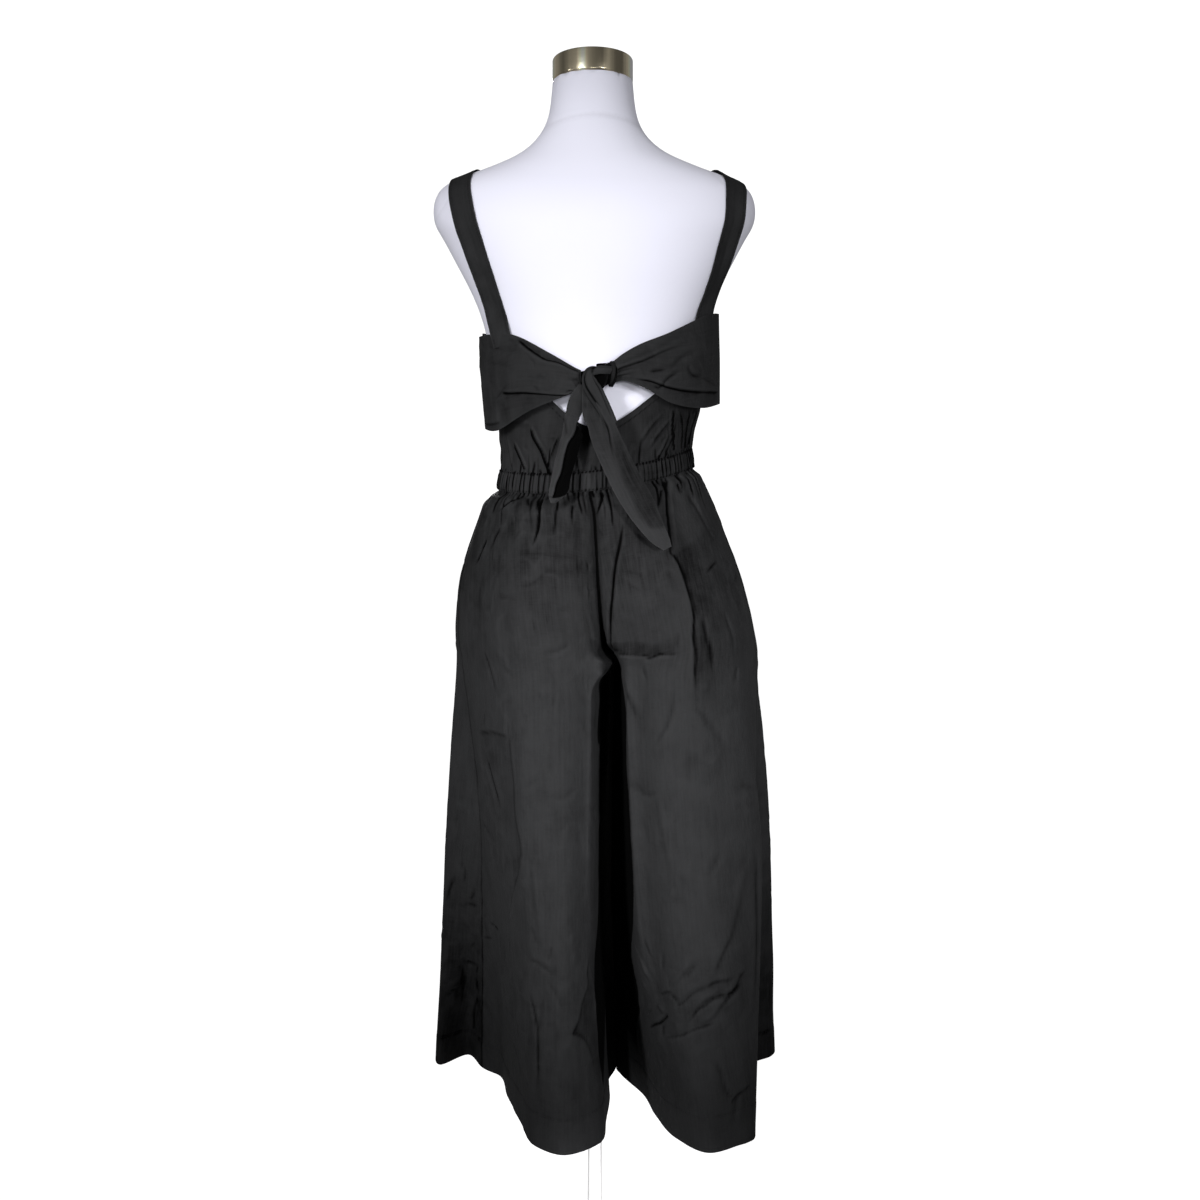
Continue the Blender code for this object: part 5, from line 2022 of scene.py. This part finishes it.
@dataclass
class Bow:
    """The two wide ties from the side seams, their knot and the two ends that hang from it."""

    finishes: Finishes
    inner_shade: float = 0.85  # painted shade of the strands inside the knot
    left: tuple[TieSection, ...] = rows_of(TieSection, """
        -136.5,6,1222  -123,6,1113  0
        -137.5,-12,1224  -131,-12,1114  1
        -119,-50,1226  -113,-54,1114  2
        -91,-77,1224  -78,-85,1136  4
        -55,-98,1206  -46,-101,1150  4
        -27,-105,1190  -27,-107,1158  2
        -15,-107,1184  -16,-108,1160  1
    """)
    right: tuple[TieSection, ...] = rows_of(TieSection, """
        147,6,1246  139,6,1143  0
        147.5,-12,1251  150,-12,1144  1
        129,-48,1247  127,-56,1140  3
        84,-84,1226  91,-86,1146  5
        52,-99,1213  60,-101,1163  5
        30,-105,1200  36,-107,1172  3
        17,-107,1189  17,-108,1169  1
    """)
    long_end: tuple[TailSection, ...] = rows_of(TailSection, """
        -13,-115,1176  3,-115,1176  .5
        -13.5,-116,1160  6.5,-116,1162  .5
        -13.5,-117,1145  14,-117,1147  1
        -12.5,-117,1131  20,-116,1133  1
        -7,-116,1119  26,-115,1119  1.5
        -2.5,-115,1102  33.5,-113,1103  2
        8,-114,1077  46,-112,1077  2.5
        22,-116,1047  62,-113,1049  2
        34,-119,1027  71,-115,1030  2
        47,-121,1009  78,-116,1013  1.5
        65,-124,989  86,-119,994  1
        80,-124,979  89,-121,983  .5
    """)
    short_end: tuple[TailSection, ...] = rows_of(TailSection, """
        -18,-113,1168  -8,-113,1168  .5
        -26,-113,1157  -9,-113,1157  1
        -30,-111,1147  -10,-112,1147  1.5
        -32,-109,1137  -14,-110,1136  2
        -34,-108,1127  -19,-108,1126  2
        -35,-107,1118  -17,-106,1117  3
        -37,-106,1109  -13,-104,1110  3
        -40,-106,1100  -16,-103,1101  4
        -44.5,-108,1080  -21,-103,1082  4
        -49,-112,1058  -27,-106,1063  3
        -52,-117,1042  -31,-112,1045  2
        -50,-120,1033  -44,-118,1033  1
    """)
    left_creases: tuple[Crease, ...] = creases_of("""
        ledge  3.2 1.7 .1 .02 -1 12  -89,1220 -80,1211 -66,1201 -55,1195 -41,1191 -27,1185 -17,1181
        ledge  3.1 1.6 .1 .02 1 16  -110,1158 -93,1159 -58,1157 -27,1158 -18,1162
        trough 1.8 2.4 .2 .5  -117,1149 -108,1160 -94,1171
        trough 1.2 3 .2 .5  -127,1214 -104,1207 -82,1204
        trough 1.2 3 .1 .6  -128,1196 -108,1190 -86,1182
        trough 1.6 1.6 .02 .7  -18,1173 -24,1173 -32,1174
        trough 1.8 1.4 .1 .4  -18,1162 -23,1160 -28,1161 -34,1157
        ledge  2.4 2 .02 .1 1 10  -131,1121 -122,1121 -110,1124
        trough 1 2.4 .3 .5  -60,1182 -66,1174 -74,1168
    """)
    right_creases: tuple[Crease, ...] = creases_of("""
        ledge  2.4 2 .02 .5 1 16  20,1184 26,1186 51,1194 82,1207 108,1218
        ledge  3 2 .15 .05 1 15  44,1175 66,1172 91,1164 121,1159 148,1159
        trough 2.4 2.4 .3 .4  62,1182 72,1183 84,1186
        trough 2.3 1.6 .1 .3  68,1166 74,1164 82,1173 90,1179 101,1183
        trough 1.7 1.8 .2 .3  107,1191 114,1179 122,1175
        trough 1.4 3.4 .1 .5  26,1188 58,1203 92,1220 112,1232
        trough 1.6 3 .3 .5  84,1184 104,1200 124,1206
        trough 1.6 2.4 .3 .3  108,1180 130,1174 146,1164
        trough 1.8 1.7 .02 .7  20,1180 34,1184 52,1188
        trough 1.8 1.6 .02 .7  20,1175 32,1178 46,1180
        ridge  1.3 3 .3 .3  140,1240 141,1205 139,1172
    """)
    long_creases: tuple[Crease, ...] = creases_of("""
        ledge  2.6 1.6 .02 .5 1 30  -10,1166 -2,1151 6,1138 16,1119 20,1098 25,1074
        shade  .45 5 .3 .05 1 40  12,1130 19,1112 22,1090 30,1068 44,1036 66,1000
        ridge  1.4 2.4 .4 .3  22,1092 28,1070 42,1038 58,1010
        trough .9 2.2 .3 .4  4,1092 10,1093 16,1090
        trough .9 2.2 .3 .4  8,1083 14,1084 19,1082
        trough 1.2 2 .3 .4  30,1100 38,1078 50,1052
    """)
    short_creases: tuple[Crease, ...] = creases_of("""
        ledge  3.2 1.8 .02 .02 -1 24  -16,1131 -21,1122 -28,1104 -34,1084 -38,1068 -44,1052 -48,1038
        shade  1 2 .02 .02 1 40  -16,1126 -20,1120 -28,1103 -34,1083 -38,1067 -44,1051 -48,1038
        trough 1.6 1.8 .2 .4  -33,1132 -32,1118 -35,1106
        trough 1.4 2 .2 .4  -41,1106 -46,1092 -45,1080
    """)

    @staticmethod
    def run(sections: tuple[TieSection | TailSection, ...], count: int) -> tuple[Array, ...]:
        """Shares of the way along some sections, and both edges and the third measure there, in metres.

        Args:
            sections: one after another.
            count: how many places.

        Returns:
            Shares of the way, and one array for each measure.
        """
        knots = np.arange(len(sections))
        places = np.linspace(0, knots[-1], count)
        parts = (spline(knots, part, places) * MM for part in zip(*sections))
        return places / knots[-1], *parts

    def band(self, side: str, sections: tuple[TieSection, ...], creases: tuple[Crease, ...]) -> None:
        """One wide tie, which narrows from the side seam into the pleats at the knot.

        Args:
            side: left or right.
            sections: from the side seam to the knot.
            creases: the folds pressed into it.
        """
        places, top, low, swell = self.run(sections, 121)
        across = np.linspace(0, 1, 65)
        grid = mixed(top[:, None], low[:, None], across[None, :, None])
        out = np.cross(np.gradient((top + low) / 2, axis=0), top - low)
        out *= np.where((out * (top + low) * (1, 1, 0)).sum(1) > 0, 1, -1)[:, None]
        out /= np.linalg.norm(out, axis=1, keepdims=True)
        share = places[:, None]
        pinch = smoothstep(share, 0.78, 1.0) * (1.0 if side == "right" else 0.25)
        pleats = np.cos(2 * math.pi * 2.6 * across + 1.1)
        pleats = pleats + 0.5 * np.cos(2 * math.pi * 4.7 * across + 4 * share)
        wave = swell[:, None] * np.sin(math.pi * across) + 1.0 * MM * pinch * pleats
        grid = grid + out[:, None] * wave[..., None]
        sheet = Sheet.turned(grid, 40, 32, out[40]).press(*creases)
        # painted shade and highlight on the pleats near the knot
        sheet.tone += 0.35 * pinch * np.clip(pleats, -1, 0.5)
        sheet.ruffle(0.8, 0.5, 1.0).scatter(31, 16, (0.3, 1.2), (7, 22))
        for distance in (sheet.from_first, sheet.from_last):
            # painted highlight along each edge
            sheet.tone += 0.25 * bump(distance / (1.2 * MM))
        made = cloth(sheet, "tie_band_" + side, DOUBLE, self.finishes, "tie_" + side)

    def end(
        self, name: str, sections: tuple[TailSection, ...], creases: tuple[Crease, ...], length: float
    ) -> None:
        """One hanging end, folded lengthwise.

        Args:
            name: long or short.
            sections: from the knot down.
            creases: the folds pressed into it.
            length: of its flat cut (m); not used.
        """
        _, left, right, fold = self.run(sections, 111)
        across = np.linspace(0, 1, 57)
        grid = mixed(left[:, None], right[:, None], across[None, :, None])
        grid[..., 1] += fold[:, None] * spline((0, 0.3, 0.55, 0.8, 1), (0, -0.8, -1, -0.5, 0), across)
        sheet = Sheet.turned(grid, 50, 28, (0, -1, 0)).press(*creases).ruffle(0.6, 0.4, 1.4)
        # painted highlight along both edges, brighter along the first
        sheet.tone += 0.6 * bump(sheet.from_first / (0.9 * MM)) + 0.2 * bump(sheet.from_last / (0.9 * MM))
        made = cloth(sheet, "hanging_end_" + name, DOUBLE, self.finishes, "tail_" + name)

    def knot(self) -> None:
        """The strands of the knot: the left tie turned down, the right one round it, and their loop."""
        strands = {
            "knot_wrap": Strand(
                cells_of(
                    "26,-106,1183 20,-114,1184 12,-120,1184.6 3,-122,1184.4 -4,-122.5,1182.4"
                    " -6.5,-122,1176 -4.5,-121.5,1168.5 .5,-120.5,1160 8,-119.5,1147 14,-118,1136"
                    " 20,-115.5,1123"
                ),
                cells_of("3.8 4 4.2 4.6 6.4 8.6 9.2 8.4 7.6 7 6.6"), cells_of("2 1.8 1.4 1.2 1"),
                pleats=2, groove=0.3, turn=0.4, crisp_from=0.33,
            ),
            "knot_loop": Strand(
                cells_of("9,-106,1190 9,-114,1180 8.5,-116,1173 5,-115,1167 0,-110,1162"),
                cells_of("6 6.2 6 5.6 5"), (3.0, 3.0), pleats=2, groove=0.4, turn=2.0,
            ),
            "knot_pinch": Strand(
                cells_of("20,-103,1191 20.5,-112,1186 20.5,-115,1180 19.5,-113,1174 18,-104,1169"),
                cells_of("4.4 5 5.4 5 4.4"), (3.0, 3.0), pleats=3, groove=0.8, turn=1.0,
            ),
            "knot_core": Strand(
                cells_of("-15,-100,1174 -6,-108,1174 4,-111,1174 14,-109,1177 24,-101,1180"),
                cells_of("8 9.5 9.5 8 7"), (4.0, 4.0), pleats=3, groove=0.4,
            ),
        }
        for name, strand in strands.items():
            sheet = strand.sheet()
            if name != "knot_wrap":
                # painted shade on the strands under the wrap
                sheet.tone -= self.inner_shade
            nodes = ["tie_knot"] if name == "knot_wrap" else []
            made = cloth(sheet, name, DOUBLE, self.finishes, *nodes)

    def build(self) -> None:
        """Makes the ties, the knot and the hanging ends."""
        self.band("left", self.left, self.left_creases)
        self.band("right", self.right, self.right_creases)
        self.knot()
        self.end("long", self.long_end, self.long_creases, 0.205)
        self.end("short", self.short_end, self.short_creases, 0.125)


# ---------------------------------------------------------------- dress form


def select_only(made: Object) -> None:
    """Selects one object alone and makes it the active one."""
    bpy.ops.object.select_all(action="DESELECT")
    made.select_set(True)
    bpy.context.view_layer.objects.active = made


def apply_step(made: Object, kind: str, **settings: object) -> None:
    """Gives an object a modifier with these settings and applies it.

    Args:
        made: the object.
        kind: Blender's name for the modifier's type.
        settings: the modifier's own.
    """
    step = made.modifiers.new(kind.lower(), kind)
    for name, value in settings.items():
        setattr(step, name, value)
    select_only(made)
    bpy.ops.object.modifier_apply(modifier=step.name)


@dataclass
class DressForm:
    """The jersey-covered form, its metal neck cap, and the pole and disc that it stands on."""

    finishes: Finishes
    cap_radius: float = 48 * MM
    cap_height: float = 29 * MM
    cap_place: Point = (-2 * MM, 22 * MM, 1523.3 * MM)
    neck_tilt: float = math.radians(9)
    pole_radius: float = 9 * MM
    pole_low: float = 48.3 * MM
    pole_top: float = 884.7 * MM
    base_radius: float = 160 * MM
    base_edge: float = 7 * MM
    base_crown: float = 16 * MM
    hub_radius: float = 17 * MM
    hub_top: float = 48 * MM

    def torso(self) -> Object:
        """The form, smoothed from a copy of its CAD node.

        Returns:
            The piece.
        """
        mesh = frame["nodes"]["form_torso"].data.copy()
        mesh.name = "form"
        mesh.materials.clear()
        shape = bmesh.new()
        shape.from_mesh(mesh)
        bmesh.ops.remove_doubles(shape, verts=shape.verts, dist=0.01 * MM)
        bmesh.ops.join_triangles(
            shape, faces=shape.faces, angle_face_threshold=0.5, angle_shape_threshold=1.5, cmp_seam=False
        )
        creases = shape.edges.layers.float.new("crease_edge")
        for edge in shape.edges:
            if len(edge.link_faces) == 2 and edge.calc_face_angle(0) > math.radians(55):
                edge[creases] = 0.8
        shape.to_mesh(mesh)
        shape.free()
        made = add_object("form", mesh)
        apply_step(made, "SUBSURF", levels=2, render_levels=2)
        mesh = made.data
        mesh.shade_smooth()
        mesh.set_sharp_from_angle(angle=math.radians(50))
        mesh.materials.append(self.finishes.jersey)
        return place_piece(made, "white_jersey", "form_torso")

    @staticmethod
    def settled(made: Object, name: str, finish: Material) -> None:
        """Names a piece, gives it its finish and moves its place into its mesh.

        Args:
            made: the piece.
            name: its name.
            finish: its material.
        """
        made.name = made.data.name = name
        select_only(made)
        bpy.ops.object.transform_apply(location=True, rotation=True, scale=True)
        made.data.materials.clear()
        made.data.materials.append(finish)

    @staticmethod
    def bevelled(made: Object, width: float, segments: int) -> None:
        """Rounds every sharp edge."""
        limit = {"limit_method": "ANGLE", "angle_limit": math.radians(40)}
        apply_step(made, "BEVEL", width=width, segments=segments, **limit)
        bpy.ops.object.shade_smooth_by_angle(angle=math.radians(35))

    def neck_cap(self) -> None:
        """The domed cap, bevelled, its top raised in three low inset steps."""
        wall = self.cap_height - 1.2 * MM
        bpy.ops.mesh.primitive_cylinder_add(
            vertices=128, radius=self.cap_radius, depth=wall, location=(0, 0, wall / 2)
        )
        made = bpy.context.object
        self.bevelled(made, 3 * MM, 5)
        bpy.ops.object.mode_set(mode="EDIT")
        bpy.ops.mesh.select_all(action="DESELECT")
        shape = bmesh.from_edit_mesh(made.data)
        shape.faces.ensure_lookup_table()
        top = max(shape.faces, key=lambda face: face.calc_center_median().z + face.calc_area())
        top.select_set(True)
        shape.faces.active = top
        bmesh.update_edit_mesh(made.data)
        for inset, rise in ((8 * MM, 0.5 * MM), (12 * MM, 0.4 * MM), (14 * MM, 0.25 * MM)):
            bpy.ops.mesh.inset(thickness=inset, depth=rise)
        bpy.ops.object.mode_set(mode="OBJECT")
        name = "neck_cap_brushed"
        self.settled(made, name, self.finishes.steel)
        made.rotation_euler.x = -self.neck_tilt
        made.location = self.cap_place
        self.settled(made, name, self.finishes.steel)
        place_piece(made, "brushed_cap", "neck_cap")

    def pole(self) -> None:
        """The pole, rounded at its ends."""
        height = self.pole_top - self.pole_low
        middle = (self.pole_top + self.pole_low) / 2
        bpy.ops.mesh.primitive_cylinder_add(
            vertices=64, radius=self.pole_radius, depth=height, location=(0, 0, middle)
        )
        made = bpy.context.object
        self.settled(made, "stand_pole", self.finishes.paint)
        self.bevelled(made, 1 * MM, 3)
        place_piece(made, "white_paint", "pole")

    def base(self) -> None:
        """The weighted disc with its hub, spun from half its outline."""
        hub, disc, crown, edge = self.hub_radius, self.base_radius, self.base_crown, self.base_edge
        outline = (
            (0, self.hub_top),
            (hub - 3 * MM, self.hub_top),
            (hub - 0.9 * MM, self.hub_top - 0.9 * MM),
            (hub, self.hub_top - 3 * MM),
            (hub + 1 * MM, crown + 6 * MM),
            (hub + 3 * MM, crown + 2 * MM),
            (hub + 8 * MM, crown),
            (disc * 0.35, crown - 1.6 * MM),
            (disc * 0.6, edge + 5 * MM),
            (disc * 0.82, edge + 2.4 * MM),
            (disc - 6 * MM, edge),
            (disc - 2.4 * MM, edge - 1.2 * MM),
            (disc - 0.6 * MM, edge - 3 * MM),
            (disc, edge - 5 * MM),
            (disc - 1 * MM, 0),
            (0, 0),
        )
        mesh = bpy.data.meshes.new("stand_base")
        points = [(radius, 0, height) for radius, height in outline]
        mesh.from_pydata(points, list(itertools.pairwise(range(len(points)))), [])
        made = add_object("stand_base", mesh)
        select_only(made)
        bpy.ops.object.mode_set(mode="EDIT")
        bpy.ops.mesh.select_all(action="SELECT")
        bpy.ops.mesh.spin(steps=144, angle=2 * math.pi, center=(0, 0, 0), axis=(0, 0, 1))
        bpy.ops.mesh.select_all(action="SELECT")
        bpy.ops.mesh.remove_doubles(threshold=0.02 * MM)
        bpy.ops.mesh.normals_make_consistent(inside=False)
        bpy.ops.object.mode_set(mode="OBJECT")
        made.data.materials.append(self.finishes.paint)
        bpy.ops.object.shade_smooth_by_angle(angle=math.radians(42))
        place_piece(made, "white_paint", "base_disc")

    def build(self) -> BVHTree:
        """Makes the four pieces.

        Returns:
            The form's surface, for what lies on it.
        """
        form = self.torso()
        self.neck_cap()
        self.pole()
        self.base()
        return BVHTree.FromObject(form, bpy.context.evaluated_depsgraph_get())


# ---------------------------------------------------------------- studio


@dataclass(frozen=True)
class Lamp:
    """A soft lamp whose light fades out round what it is aimed at.

    Attributes:
        place: where it stands (m).
        aim: what it points at (m).
        glow: how bright it makes a white surface there.
        pool: radius of its light there (m).
        soft: its own radius (m).
    """

    name: str
    place: Point
    aim: Point
    glow: float
    pool: float
    soft: float

    def build(self) -> None:
        """Makes the lamp."""
        way = Vector(self.aim) - Vector(self.place)
        data = bpy.data.lights.new(self.name, "SPOT")
        data.energy = self.glow * 4 * math.pi**2 * way.length_squared
        data.spot_size = 2 * math.atan(self.pool / way.length)
        data.spot_blend = 1.0
        data.shadow_soft_size = self.soft
        made = add_object(self.name, data)
        made.location = self.place
        made.rotation_euler = way.to_track_quat("-Z", "Y").to_euler()


@dataclass
class Studio:
    """A white room with soft lamps behind the camera."""

    camera_place: Point = (0.0067, -2.0, 1.185)
    camera_tip: float = math.radians(82)
    lens: float = 49.2
    sensor: float = 36.0
    floor_half: float = 9.0
    room_glow: float = 0.2
    lamps: tuple[Lamp, ...] = rows_of(Lamp, """
        key        -1.2,-1.8,1.4   0,-.1,.72    1.28  .5   .16
        fill       1.2,-1.85,1.3   .02,-.1,.72  1.04  .5   .16
        upper      -1.1,-1.75,1.8  0,-.1,1.27   .66   .46  .14
        beside     .95,-1.85,1.7   0,-.1,1.27   .34   .46  .2
        ring       .1,-2.05,1.35   0,-.1,1.22   .22   .4   .12
        flank      -1.9,-.8,1.6    -.05,0,1.47  .3    .12  .2
        front      -.4,2.1,1.7     0,.1,1       1     .62  .16
        front_low  -.2,2.1,.8      0,.1,.6      .9    .5   .16
        low        .2,-2.2,.4      0,0,.06      2.2   .24  .1
    """)

    def glowing(self, name: str, colour: float, glow: float) -> Material:
        """A white surface that shines a little.

        Args:
            name: of the material.
            colour: its grey, from 0 to 1.
            glow: how strongly it shines.

        Returns:
            The material.
        """
        shader = Shader(name)
        mottle = shader.noise(shader.objects(), 3.0, 3.0)
        stops = ((0.3, (colour * 0.99,) * 3), (0.7, (colour,) * 3))
        shader.principled(
            base_color=shader.ramp(mottle, *stops), roughness=0.9, emission_strength=glow,
            emission_color=(1.0, 1.0, 1.0),
        )
        return shader.material

    def room(self) -> None:
        """The floor and the far white wall all round."""
        bpy.ops.mesh.primitive_plane_add(size=2 * self.floor_half, location=(0, 0, 0))
        floor = bpy.context.object
        floor.name = "floor"
        floor.data.materials.append(self.glowing("floor_white", 0.8, 0.9))
        bpy.ops.mesh.primitive_uv_sphere_add(segments=64, ring_count=32, radius=self.floor_half)
        dome = bpy.context.object
        dome.name = "backdrop"
        dome.data.shade_smooth()
        dome.data.materials.append(self.glowing("backdrop_white", 0.8, 1.0))
        for made in (floor, dome):
            made.visible_diffuse = made.visible_glossy = made.visible_shadow = False

    def light(self) -> None:
        """The room's even light and the lamps."""
        world = bpy.data.worlds.new("room")
        bpy.context.scene.world = world
        world.use_nodes = True
        sky = world.node_tree.nodes["Background"]
        sky.inputs["Color"].default_value = (1.0, 1.0, 1.0, 1.0)
        sky.inputs["Strength"].default_value = self.room_glow
        for lamp in self.lamps:
            lamp.build()

    def camera(self) -> None:
        """The camera, close behind the garment."""
        data = bpy.data.cameras.new("camera")
        data.lens = self.lens
        data.sensor_width = self.sensor
        made = add_object("camera", data)
        made.location = self.camera_place
        made.rotation_euler = (self.camera_tip, 0, 0)
        bpy.context.scene.camera = made

    def build(self) -> None:
        """Sets the scene up."""
        self.room()
        self.light()
        self.camera()
        bpy.context.scene.view_settings.view_transform = "Standard"


def main() -> None:
    """Builds every piece in order."""
    logging.basicConfig(level=logging.INFO, format="%(message)s")
    Studio().build()
    finishes = Finishes.build()
    form = DressForm(finishes).build()
    Trousers(finishes).build()
    Bodice(finishes).build()
    Straps(finishes, form).build()
    Bow(finishes).build()


if __name__ == "__main__":
    main()
